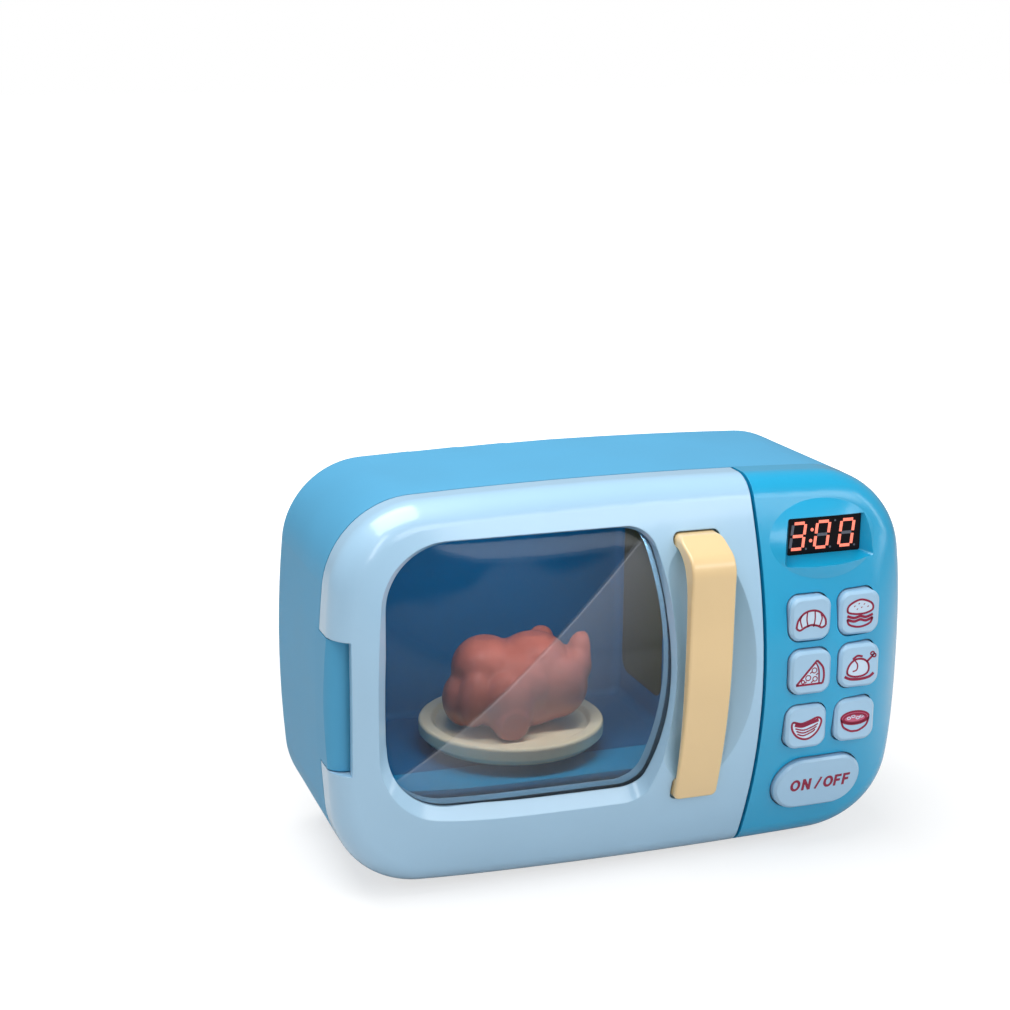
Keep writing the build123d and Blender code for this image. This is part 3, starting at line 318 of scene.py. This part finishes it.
def clear(name, tint, roughness=0.05, haze_and_glare=0.0, haze_and_glare_colour=PURE_WHITE):
    """Tinted clear plastic: light passes straight through it, it shines, and a little milkiness clouds it.
    On the pane the same cloudy layer carries a painted glare, a reflection laid in as colour.
    """
    material, tree = new_material(name)
    tree.nodes.clear()
    uneven = blend(tree, noise(tree, TINT_SCALE), shade(tint, TINT_DARKER), tint)
    through = put(tree, "BsdfTransparent", {"Color": uneven})
    # The cloudy layer: real milkiness on the amber cover and the lamp's lens, a painted glare on the pane.
    cloudy_and_glare = put(tree, "BsdfDiffuse", {"Color": haze_and_glare_colour})
    body = mix(tree, haze_and_glare, through, cloudy_and_glare)
    body.name = "haze_and_glare"
    shine = put(tree, "BsdfGlossy", {"Roughness": roughness})
    fresnel = put(tree, "Fresnel", {"IOR": PANE_IOR})
    surface = mix(tree, fresnel.outputs[0], body, shine)
    put(tree, "OutputMaterial", {"Surface": surface.outputs[0]})
    return material


# The painted glare on the pane, in metres of the row frame at rest: a reflection laid in as milky colour.
# The main glare and a fainter wavy glare each lie under a line that crosses x = 0 at a height and rises
# to the right by a slope. Noise lifts the wavy glare's line unevenly, by up to WAVE_HEIGHT.
GLARE_HEIGHT, GLARE_SLOPE = 0.1565, 0.8713
WAVY_GLARE_HEIGHT, WAVY_GLARE_SLOPE = 0.1415, 0.13
WAVE_HEIGHT, WAVE_SCALE = 0.035, 26


def band(tree, depth, rise, fall, strong, weak):
    """A share of the cloudy layer that rises to strong over one stretch of depth and falls to weak over
    another; it lays the painted glare.
    """
    risen, fallen = fade(tree, depth, *rise, 0.0, 1.0), fade(tree, depth, *fall, strong, weak)
    return calc(tree, "MULTIPLY", risen, fallen)


def add_painted_glare(material):
    """Painted reflection on the pane: a milky glare below its slanting edge, a bright line along that edge,
    and a faint glare under a wavy line.
    """
    tree = material.node_tree
    split = put(tree, "SeparateXYZ", {0: own_place(tree)})
    x, z = split.outputs["X"], split.outputs["Z"]
    below = calc(tree, "SUBTRACT", calc(tree, "MULTIPLY_ADD", x, GLARE_SLOPE, GLARE_HEIGHT), z)
    glare_band = band(tree, below, rise=(0.0, 0.0005), fall=(0.0, 0.06), strong=0.085, weak=0.012)
    # A painted bright line of glare along the slanting edge.
    edge = band(tree, below, rise=(-0.0002, 0.0003), fall=(0.0006, 0.0014), strong=0.1, weak=0.0)
    # The fainter painted glare lies under a wavy line.
    wave = calc(tree, "MULTIPLY", noise(tree, WAVE_SCALE, 1), WAVE_HEIGHT)
    crest = calc(tree, "ADD", calc(tree, "MULTIPLY", x, WAVY_GLARE_SLOPE), wave)
    under = calc(tree, "SUBTRACT", calc(tree, "ADD", crest, WAVY_GLARE_HEIGHT), z)
    mottle_and_wavy_glare = band(tree, under, rise=(0.0, 0.004), fall=(0.0, 0.07), strong=0.02, weak=0.006)
    total = calc(tree, "ADD", calc(tree, "ADD", glare_band, edge), mottle_and_wavy_glare)
    fill_inputs(tree, tree.nodes["haze_and_glare"], {"Fac": total})


def paint(material, *names):
    """Gives CAD nodes their material."""
    for name in names:
        mesh = NODES[name].data
        mesh.materials.clear()
        mesh.materials.append(material)


CASE = plastic("case_blue", srgb(82, 160, 200), roughness=0.42, coat=0.04, shine=0.14)
PANEL = plastic("panel_blue", srgb(0, 158, 204), coat=1.0, coat_roughness=0.2, shine=0.4)
DOOR = plastic("door_pale_blue", srgb(160, 198, 224), coat=0.9, edge=0.9, mottle=0.02)
DOOR_INSIDE = plastic("door_inside", srgb(140, 186, 210), roughness=0.45, grain=0.2, coat=0.0)
# The liner is blue plastic like the casing; its colour is painted darker to stand for the shade inside the
# cavity.
CAVITY_BLUE_AND_SHADE = plastic("cavity_blue", srgb(0, 100, 148), roughness=0.35, coat=0.0, shine=0.3)
BUTTON = plastic("button_pale", srgb(160, 197, 224), edge=0.8)
CREAM = plastic("handle_cream", srgb(226, 196, 146), edge=0.8)
# The pane's cloudy colour is the colour of the painted glare laid onto it on the next line.
PANE = clear("pane", (0.70, 0.73, 0.76, 1), haze_and_glare_colour=(0.8, 0.82, 0.88, 1))
add_painted_glare(PANE)
AMBER = clear("amber", srgb(190, 150, 70), roughness=0.3, haze_and_glare=0.5, haze_and_glare_colour=srgb(106, 94, 30))
PLATE = plastic("plate_cream", srgb(250, 228, 190), edge=0.8)
ROAST = plastic("roast_brown", srgb(168, 92, 78), roughness=0.42, coat=0.3, mottle=0.12, wear=60.0,
                edge=0)
BLACK = plastic("display_black", srgb(10, 8, 14), roughness=0.3, coat=0.0, shine=0.15)
BOARD = plastic("board_green", srgb(28, 98, 62), roughness=0.4, mottle=0.15, wear=120.0, coat=0.3)
SWITCH = plastic("switch_black", srgb(30, 30, 33), roughness=0.4, grain=0.2, coat=0.0)
SPEAKER = plastic("speaker_black", srgb(38, 38, 42), roughness=0.6, grain=0.4, coat=0.0)
MOTOR = plastic("motor_steel", srgb(168, 170, 174), roughness=0.32, coat=0.0, metal=1.0)
ZINC = plastic("zinc_screw", srgb(180, 180, 176), roughness=0.35, coat=0.0, metal=1.0, edge=0.15)
CONTACT = plastic("contact_steel", srgb(196, 192, 180), roughness=0.28, coat=0.0, metal=1.0, edge=0.15)
JACKET = plastic("cell_jacket", srgb(60, 92, 120), roughness=0.3, mottle=0.08)
GEAR = plastic("gear_white", srgb(226, 226, 220), roughness=0.42, grain=0.1, coat=0.0, edge=0.2)
FRAME_GREY = plastic("frame_grey", srgb(150, 152, 156), roughness=0.5, grain=0.2, coat=0.0)
LED = clear("led_clear", (0.9, 0.9, 0.86, 1), roughness=0.1, haze_and_glare=0.25)
RUBBER = plastic("foot_rubber", srgb(46, 48, 52), roughness=0.7, grain=0.4, coat=0.0)

paint(CASE, "rear_housing", "battery_cover")
paint(PANEL, "front_bezel")
paint(DOOR, "door_frame")
paint(DOOR_INSIDE, "door_inner_frame")
paint(CAVITY_BLUE_AND_SHADE, "cavity_liner")
paint(BUTTON, "start_button", *[f"food_button_{i}" for i in range(1, 7)])
paint(CREAM, "door_handle")
paint(PANE, "window_pane")
paint(AMBER, "light_cover")
paint(PLATE, "turntable_plate")
paint(ROAST, "toy_chicken")
paint(BLACK, "display_module")
paint(BOARD, "control_board")
paint(SWITCH, "tact_switches")
paint(SPEAKER, "speaker")
paint(MOTOR, "drive_motor")
paint(ZINC, "hinge_pin", "cover_screw", "housing_screws", "board_screws", "door_screws", "handle_screws",
      "liner_screws", "idler_axle", "motor_shaft", "gear_frame_screws")
paint(CONTACT, "battery_contacts")
paint(JACKET, "battery_cells")
paint(GEAR, "drive_hub", "output_gear", "idler_gear", "motor_pinion")
paint(FRAME_GREY, "gear_frame_top", "gear_frame_base")
paint(LED, "cavity_led")
paint(RUBBER, "feet")

# ---- The front's formula, for what is printed on it ----

# Half the front's size, its depth at the outline, the dome's rise over that, and the powers of the
# dome's curve to the left, to the right and up. Buttons stand proud of it; the digits' face is flat.
HALF_W, HALF_H = 140.0, 91.0
EDGE_DEPTH, RISE = 18.7, 24.7
LEFT_CURVE, RIGHT_CURVE, TOP_CURVE = 4.8, 8.5, 1.9
BUTTON_PROUD = 3.0
DISPLAY_FACE = -25.0


def dome_y(x, z, inset=0.0):
    """Depth of the domed front in millimetres, as the CAD has it."""
    across = (abs(x) / (HALF_W - inset)) ** (LEFT_CURVE if x < 0 else RIGHT_CURVE)
    up = (abs(z) / (HALF_H - inset)) ** TOP_CURVE
    return -(EDGE_DEPTH - inset + RISE * (1 - across) * (1 - up))


def flat(y):
    """A flat face, as a depth for a Print."""
    def depth(x, z):
        return y
    return depth


# ---- Printed marks: thin raised ink on a face ----

# How far ink reaches below its face, and above it for patches, lines and the display's digits.
INK_LOW = -0.05
PATCH_HIGH, LINE_HIGH, DIGIT_HIGH = 0.06, 0.09, 0.12
CURVE_STEPS, OVAL_STEPS = 7, 28


def smooth(points, closed=False):
    """A Catmull-Rom curve through a few points."""
    if closed:
        chain = [points[-1]] + list(points) + [points[0], points[1]]
    else:
        chain = [points[0]] + list(points) + [points[-1]]
    curve = []
    for a, b, c, d in zip(chain, chain[1:], chain[2:], chain[3:]):
        for step in range(CURVE_STEPS):
            t = step / CURVE_STEPS
            curve.append(tuple(
                0.5 * (2 * q + (r - p) * t + (2 * p - 5 * q + 4 * r - s) * t * t
                       + (3 * q - p - 3 * r + s) * t ** 3)
                for p, q, r, s in zip(a, b, c, d)))
    return curve if closed else curve + [tuple(points[-1])]


def oval(u, v, ru, rv, end=360.0):
    """Points of an ellipse, anticlockwise from its right-hand end to an angle in degrees."""
    count = round(OVAL_STEPS * end / 360)
    angles = [math.radians(end * i / count) for i in range(count + 1)]
    return [(u + ru * math.cos(a), v + rv * math.sin(a)) for a in angles]


class Print:
    """Ink laid on a face. Points are in millimetres on the face, from the print's own middle."""

    def __init__(self, name, x, z, depth, body, inks):
        self.name, self.x, self.z, self.depth = name, x, z, depth
        self.body, self.inks = body, inks
        self.bm = bmesh.new()

    def corner(self, u, v, height):
        x, z = self.x + u, self.z + v
        return self.bm.verts.new(at(x, self.depth(x, z) - height, z))

    def skin(self, rings, ink):
        """Faces round a stack of rings of corners, with a cap on each end."""
        faces = [self.bm.faces.new(rings[0]), self.bm.faces.new(list(reversed(rings[-1])))]
        for a, b in zip(rings, rings[1:]):
            for i in range(len(a)):
                j = (i + 1) % len(a)
                faces.append(self.bm.faces.new((a[i], b[i], b[j], a[j])))
        for face in faces:
            face.material_index = ink

    def patch(self, outline, ink, height=PATCH_HIGH):
        """A closed patch of ink."""
        self.skin([[self.corner(u, v, level) for u, v in outline] for level in (height, INK_LOW)], ink)

    def line(self, points, width, ink=0, height=LINE_HIGH):
        """A line of ink along points, with its ends cut square."""
        rings = []
        for i, (u, v) in enumerate(points):
            before, after = points[max(i - 1, 0)], points[min(i + 1, len(points) - 1)]
            du, dv = after[0] - before[0], after[1] - before[1]
            length = math.hypot(du, dv) or 1.0
            nu, nv = -dv / length * width / 2, du / length * width / 2
            rings.append([self.corner(u + nu, v + nv, height), self.corner(u - nu, v - nv, height),
                          self.corner(u - nu, v - nv, INK_LOW), self.corner(u + nu, v + nv, INK_LOW)])
        self.skin(rings, ink)

    def finish(self):
        """Turns the ink into an object that rides on its body."""
        bmesh.ops.triangulate(self.bm, faces=[f for f in self.bm.faces if len(f.verts) > 4])
        bmesh.ops.recalc_face_normals(self.bm, faces=self.bm.faces)
        mesh = bpy.data.meshes.new(self.name)
        self.bm.to_mesh(mesh)
        self.bm.free()
        for ink in self.inks:
            mesh.materials.append(ink)
        piece = add_object(self.name, mesh)
        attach(piece, self.body)
        return piece


# ---- The food outlines on the square buttons ----

INK_RED = plastic("ink_red", srgb(140, 14, 56), roughness=0.45, coat=0.0, edge=0)
INK_WHITE = plastic("ink_white", srgb(196, 216, 234), roughness=0.45, coat=0.0, edge=0)
INK_ROSE = plastic("ink_rose", srgb(190, 90, 120), roughness=0.45, coat=0.0, edge=0)
# Their numbers in a button's print. Red is 0, which a line is where it isn't told otherwise.
WHITE, ROSE = 1, 2
# The buttons' middles, how far below its button's middle a print sits, and the usual widths of lines.
BUTTON_COLUMNS = (80.1, 106.0)
BUTTON_ROWS = (27.4, 2.5, -24.5)
PRINT_DROP = 0.4
THIN, THICK = 0.7, 1.0


def croissant(ink):
    outer = smooth([(-7.4, -3.4), (-6.6, 0.4), (-3.6, 3.6), (0.4, 4.6), (4.2, 3.5), (7.0, 0.2),
                    (7.4, -3.0)])
    inner = smooth([(7.4, -3.0), (5.4, -3.9), (3.2, -2.9), (0.0, -2.3), (-3.2, -3.2), (-5.6, -4.4),
                    (-7.4, -3.4)])
    ink.patch(outer + inner[1:-1], WHITE)
    ink.line(outer, THICK)
    ink.line(inner, THICK)
    for top, low, lean in ((-4.9, -4.6, -0.9), (-2.2, -1.5, -0.5), (1.6, 1.2, 0.4), (4.7, 4.2, 0.9)):
        crown = 4.4 - 0.085 * top * top
        ink.line(smooth([(top, crown), ((top + low) / 2 + lean, 0.4), (low, -3.2)]), THIN)


def burger(ink):
    bun = smooth([(-6.4, 1.4), (-5.6, 4.6), (0, 6.9), (5.6, 4.9), (6.4, 1.8), (3.2, 0.3), (0, 0.0),
                  (-3.4, 0.3)], closed=True)
    ink.patch(bun, WHITE)
    ink.line(bun + bun[:2], THICK)
    for level, sag in ((-0.6, 1.1), (-2.2, 1.2)):
        filling = smooth([(-6.6, level), (-3.0, level - sag), (0.2, level - 0.5), (3.2, level - sag),
                          (6.6, level)])
        ink.line(filling, 1.25)
    ink.line(smooth([(-6.5, -2.2), (-5.2, -4.9), (0, -6.2), (5.2, -4.8), (6.5, -2.0)]), THICK)
    for u, v in ((-3.0, 3.9), (-0.8, 5.0), (1.9, 4.6), (3.9, 3.3), (0.6, 3.1), (-1.6, 2.4)):
        ink.line([(u - 0.35, v - 0.25), (u + 0.35, v + 0.25)], 0.45)


def pizza(ink):
    ink.patch([(-7.2, -4.9), (3.6, -4.7), (2.4, 5.0)], WHITE)
    ink.line([(-7.4, -5.0), (2.6, 6.2)], THICK)
    ink.line([(-7.6, -5.1), (5.8, -5.0)], THICK)
    ink.line(smooth([(2.6, 6.2), (5.6, 2.8), (6.4, -1.6), (5.8, -5.0)]), THICK)
    ink.line(smooth([(2.2, 4.9), (3.7, 1.4), (4.0, -4.8)]), THIN)
    for u, v, r in ((1.4, 1.5, 1.2), (-1.6, -1.9, 1.25), (1.9, -2.6, 1.1), (-4.2, -3.6, 0.8)):
        ink.line(oval(u, v, r, r), 0.5)
    for u, v in ((-0.2, 0.6), (0.4, -3.9), (2.8, -0.4), (-2.8, -3.9)):
        ink.line([(u - 0.5, v - 0.4), (u + 0.5, v + 0.4)], 0.6)


def roast(ink):
    body = smooth([(-6.2, -2.9), (-5.6, 0.8), (-2.6, 3.6), (1.4, 3.6), (4.2, 1.4), (4.6, -2.2), (2.2, -4.3),
                   (-2.6, -4.6)], closed=True)
    ink.patch(body, WHITE)
    ink.line(body + body[:2], THICK)
    ink.line(smooth([(-2.6, 3.2), (-1.2, 1.0), (-1.6, -1.4), (-3.6, -2.0)]), THIN)
    ink.line(smooth([(3.6, 2.2), (5.4, 3.8), (6.4, 4.8)]), THICK)
    ink.line(oval(6.3, 5.9, 0.9, 0.8), THIN)
    ink.line(oval(7.3, 4.9, 0.8, 0.8), THIN)
    ink.line(smooth([(-3.8, 3.9), (-1.4, 5.4), (1.2, 4.9)]), THICK)
    ink.line(smooth([(-7.6, -4.2), (-4.6, -5.6), (0.4, -6.0), (5.0, -5.3), (7.4, -3.6)]), 1.3)


def steak(ink):
    rim = smooth([(-7.2, 3.2), (-3.0, 2.3), (1.0, 3.2), (5.4, 4.6), (7.3, 2.6), (5.2, -2.4), (0.6, -5.4),
                  (-4.4, -4.2), (-7.4, -0.4)], closed=True)
    ink.patch(rim, WHITE)
    ink.line(rim + rim[:2], THICK)
    ink.line(smooth([(-6.2, 2.0), (-2.4, 1.2), (1.6, 2.2), (5.9, 3.4)]), 1.7)
    for shift in (0.0, 1.35, 2.7):
        ink.line(smooth([(-5.9 + 0.4 * shift, 0.2 - shift), (-1.6, -0.9 - shift), (2.6, 0.2 - shift * 0.9),
                         (5.6 - 0.5 * shift, 1.6 - shift)]), THIN)


def bowl(ink):
    ink.patch(oval(0, 1.4, 7.0, 2.9), ROSE)
    ink.line(oval(0, 1.4, 7.2, 3.1), THICK)
    ink.line(oval(0, 1.1, 5.9, 2.1), THICK)
    side = smooth([(-7.2, 1.0), (-5.9, -2.7), (-2.4, -4.9), (0, -5.2), (2.4, -4.9), (5.9, -2.7),
                   (7.2, 1.0)])
    ink.line(side, THICK)
    for u, v in ((-3.2, 1.4), (-0.9, 2.1), (1.4, 1.2), (3.4, 1.8)):
        ink.line(oval(u, v, 0.9, 0.55), 0.4, WHITE)


def add_button_prints():
    icons = (croissant, burger, pizza, roast, steak, bowl)
    places = [(x, z) for z in BUTTON_ROWS for x in BUTTON_COLUMNS]
    for number, (draw, (x, z)) in enumerate(zip(icons, places), start=1):
        ink = Print(f"{draw.__name__}_print", x, z - PRINT_DROP, flat(dome_y(x, z) - BUTTON_PROUD),
                    f"button_{number}", (INK_RED, INK_WHITE, INK_ROSE))
        draw(ink)
        ink.finish()


# ---- The words on the wide button ----

# The words' middle, half the height of their letters and the width of their strokes. The line of an O
# goes on past a full turn, so that its ends overlap.
WORDS_X, WORDS_Z = 91.8, -56.3
LETTER_HALF, BOLD = 3.2, 1.35
O_TURN = 380


def add_start_print():
    """ON / OFF in bold narrow letters on the wide button's curved face."""
    def face(x, z):
        return dome_y(x, z, -BUTTON_PROUD)

    ink = Print("on_off_print", WORDS_X, WORDS_Z, face, "start", (INK_RED,))
    half, arm = LETTER_HALF, LETTER_HALF - BOLD / 2

    def letter_o(u):
        ink.line(oval(u, 0, 1.9, arm, O_TURN), BOLD)

    def letter_n(u):
        for side in (u - 1.6, u + 1.6):
            ink.line([(side, -half), (side, 0), (side, half)], BOLD)
        ink.line([(u - 1.6, half - 0.2), (u, 0), (u + 1.6, -half + 0.2)], BOLD)

    def letter_f(u):
        stem = u - 1.2
        ink.line([(stem, -half), (stem, 0), (stem, half)], BOLD)
        ink.line([(stem, arm), (u + 0.4, arm), (u + 1.9, arm)], BOLD)
        ink.line([(stem, 0), (u + 0.2, 0), (u + 1.4, 0)], BOLD)

    def slash(u):
        ink.line([(u - 1.2, -half), (u, 0), (u + 1.2, half)], 1.1)

    for draw, u in ((letter_o, -12.4), (letter_n, -6.6), (slash, -0.4),
                    (letter_o, 5.0), (letter_f, 10.0), (letter_f, 14.6)):
        draw(u)
    ink.finish()


# ---- Display digits ----

DISPLAY_X, DISPLAY_Z = 93.9, 61.6
DIGIT_H, DIGIT_W, STROKE = 13.6, 7.8, 1.4
# How far a digit leans to the right for each millimetre up, and how far its segments' ends stand
# back from its corners.
LEAN, GAP = 0.10, STROKE * 0.45
LIT_SEGMENTS = {"0": "abcdef", "3": "abcdg"}
# The digits and dots, by how far they are from the display's middle.
DIGITS = (("3", -12.9), ("0", -0.5), ("0", 12.0))
COLON_X, COLON_Z, COLON_R = -6.0, 2.6, 0.8
UPPER_DOT_X, UPPER_DOT_Z, DOT_R = 5.9, 6.2, 0.5
SEGMENT_SCALE, SEGMENT_DARKER = 900, 0.8


def glowing(name, colour, strength):
    """A lit segment, which glows a little unevenly."""
    material, tree = new_material(name)
    uneven = blend(tree, noise(tree, SEGMENT_SCALE), shade(colour, SEGMENT_DARKER), colour, 0.35, 0.6)
    fill_inputs(tree, tree.nodes["Principled BSDF"], {
        "Base Color": (0.02, 0.02, 0.02, 1),
        "Roughness": 0.4,
        "Emission Color": uneven,
        "Emission Strength": strength,
    })
    return material


LIT = glowing("segment_lit", srgb(255, 128, 104), strength=1.5)
UNLIT = plastic("segment_unlit", srgb(96, 98, 108), roughness=0.4, coat=0.0, edge=0)
# Their numbers in the digits' print.
ON, OFF = 0, 1


def segment_lines():
    """Each segment of a digit, as its two ends, from the digit's middle before it leans."""
    half_w, half_h = (DIGIT_W - STROKE) / 2, (DIGIT_H - STROKE) / 2

    def across(v):
        return (-half_w + GAP, v), (half_w - GAP, v)

    def up(u, low, high):
        return (u, low + GAP), (u, high - GAP)

    return {"a": across(half_h), "g": across(0), "d": across(-half_h),
            "b": up(half_w, 0, half_h), "c": up(half_w, -half_h, 0),
            "f": up(-half_w, 0, half_h), "e": up(-half_w, -half_h, 0)}


def add_digits():
    """3:00 in leaning segments, with the colon, a dot after each digit and one above."""
    ink = Print("display_digits", DISPLAY_X, DISPLAY_Z, flat(DISPLAY_FACE), "oven", (LIT, UNLIT))

    def lean(u, v, shift):
        return (u + v * LEAN + shift, v)

    def dot(u, v, radius, look):
        ink.patch(oval(u, v, radius, radius)[:-1], look, DIGIT_HIGH)

    for digit, shift in DIGITS:
        for name, (a, b) in segment_lines().items():
            middle = (a[0] + b[0]) / 2, (a[1] + b[1]) / 2
            points = [lean(u, v, shift) for u, v in (a, middle, b)]
            ink.line(points, STROKE, ON if name in LIT_SEGMENTS[digit] else OFF, DIGIT_HIGH)
        dot(shift + DIGIT_W / 2 + DOT_R, -DIGIT_H / 2 + DOT_R, DOT_R, OFF)
    for v in (COLON_Z, -COLON_Z):
        dot(COLON_X + v * LEAN, v, COLON_R, ON)
    dot(UPPER_DOT_X, UPPER_DOT_Z, DOT_R, OFF)
    ink.finish().visible_glossy = False


# ---- Toy chicken ----

# The middle of the plate's well, where the bird sits, and how its lumps melt together: the size of the
# joined skin's voxels, then how much each of the smoothing steps does, and how many there are.
BIRD_X, BIRD_Y, BIRD_FLOOR = -38.2, 26.0, -33.2
VOXEL, MELT, MELT_STEPS = 1.0, 0.5, 16
# Each lump's place from there and its radii, in millimetres, and its tilts about y and then z in degrees.
LUMPS = (
    ((-3, -1, 21), (28, 22, 20), -8, 0),
    ((-14, 0, 28), (17, 17, 16), 25, 0),
    ((9, -1, 27), (19, 18, 17), 10, 0),
    ((16, -11, 20), (16, 11, 16), 35, -10),
    ((27, -9, 28), (9, 8, 8), -50, -6),
    ((32, -6, 35), (7.2, 6.6, 9.0), -10, 0),
    ((16, 13, 20), (16, 11, 16), 35, 10),
    ((16, 8, 38), (6, 6, 6), -20, 0),
    ((-9, -17, 16), (13, 9.5, 16), -10, 0),
    ((-9, -22, 8), (9, 7.5, 8.5), -30, 0),
    ((-23, -12, 18), (9, 8.5, 14), 12, 0),
    ((-12, 18, 18), (13, 8.5, 12), 30, 0),
    ((-26, -2, 15), (10, 12, 13), 0, 0),
    ((0, 0, 9), (27, 20, 10), 0, 0),
)


def lumps_mesh():
    """The lumps as spheres that are stretched, tilted and put in place, in millimetres."""
    bm = bmesh.new()
    for place, radii, tilt, turn in LUMPS:
        spread = Matrix.Diagonal((*radii, 1))
        lean = Matrix.Rotation(math.radians(turn), 4, "Z") @ Matrix.Rotation(math.radians(tilt), 4, "Y")
        move = Matrix.Translation(place)
        bmesh.ops.create_icosphere(bm, subdivisions=4, radius=1.0, matrix=move @ lean @ spread)
    mesh = bpy.data.meshes.new("chicken_skin")
    bm.to_mesh(mesh)
    bm.free()
    return mesh


def add_chicken():
    """The bird as one soft skin: its lumps joined and melted together, and kept in the CAD's box."""
    bird = add_object("chicken_skin", lumps_mesh())
    skin = bird.modifiers.new("skin", "REMESH")
    skin.mode = "VOXEL"
    skin.voxel_size = VOXEL
    melt = bird.modifiers.new("melt", "SMOOTH")
    melt.factor, melt.iterations = MELT, MELT_STEPS
    bpy.context.view_layer.update()
    melted = bpy.data.meshes.new_from_object(bird.evaluated_get(bpy.context.evaluated_depsgraph_get()))
    bird.modifiers.clear()
    low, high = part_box("toy_chicken")
    for vertex in melted.vertices:
        spot = at(BIRD_X, BIRD_Y, BIRD_FLOOR) + vertex.co * MM
        vertex.co = [min(max(spot[i], low[i]), high[i]) for i in range(3)]
    melted.polygons.foreach_set("use_smooth", [True] * len(melted.polygons))
    melted.materials.clear()
    melted.materials.append(ROAST)
    bird.data = melted
    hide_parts("toy_chicken")
    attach(bird, body_of(NODES["toy_chicken"])[0])


add_chicken()
add_button_prints()
add_start_print()
add_digits()

add_camera()
add_world()
add_floor()
add_area("overhead", (-0.3, 0.0, 1.25), (-0.02, 0.0, 0.1), size=(1.3, 0.8), power=17)
add_area("front_top", (0.5, -1.05, 0.92), (0, 0, 0.1), size=(1.5, 0.35), power=5.2)
add_area("front_left", (-0.7, -1.2, 1.0), (0, 0, 0.1), size=(0.25, 0.8), power=2.6)
right_fill = add_area("right_fill", (1.1, -1.3, 0.35), (0.05, 0, 0.09), size=(0.9, 1.0), power=4.2)
right_fill.visible_glossy = False
add_area("right_strip", (1.2, -0.5, 0.55), (0.1, 0, 0.1), size=(0.16, 0.9), power=1.6)
# The lamp under the cavity's roof lights the food and isn't seen itself.
inside = add_area("inside", at(-40, -10, 66), at(-40, 20, -44), size=(0.13, 0.015), power=0.17)
inside.visible_camera = False
inside.visible_glossy = False

scene = bpy.context.scene
scene.view_settings.view_transform = "Standard"
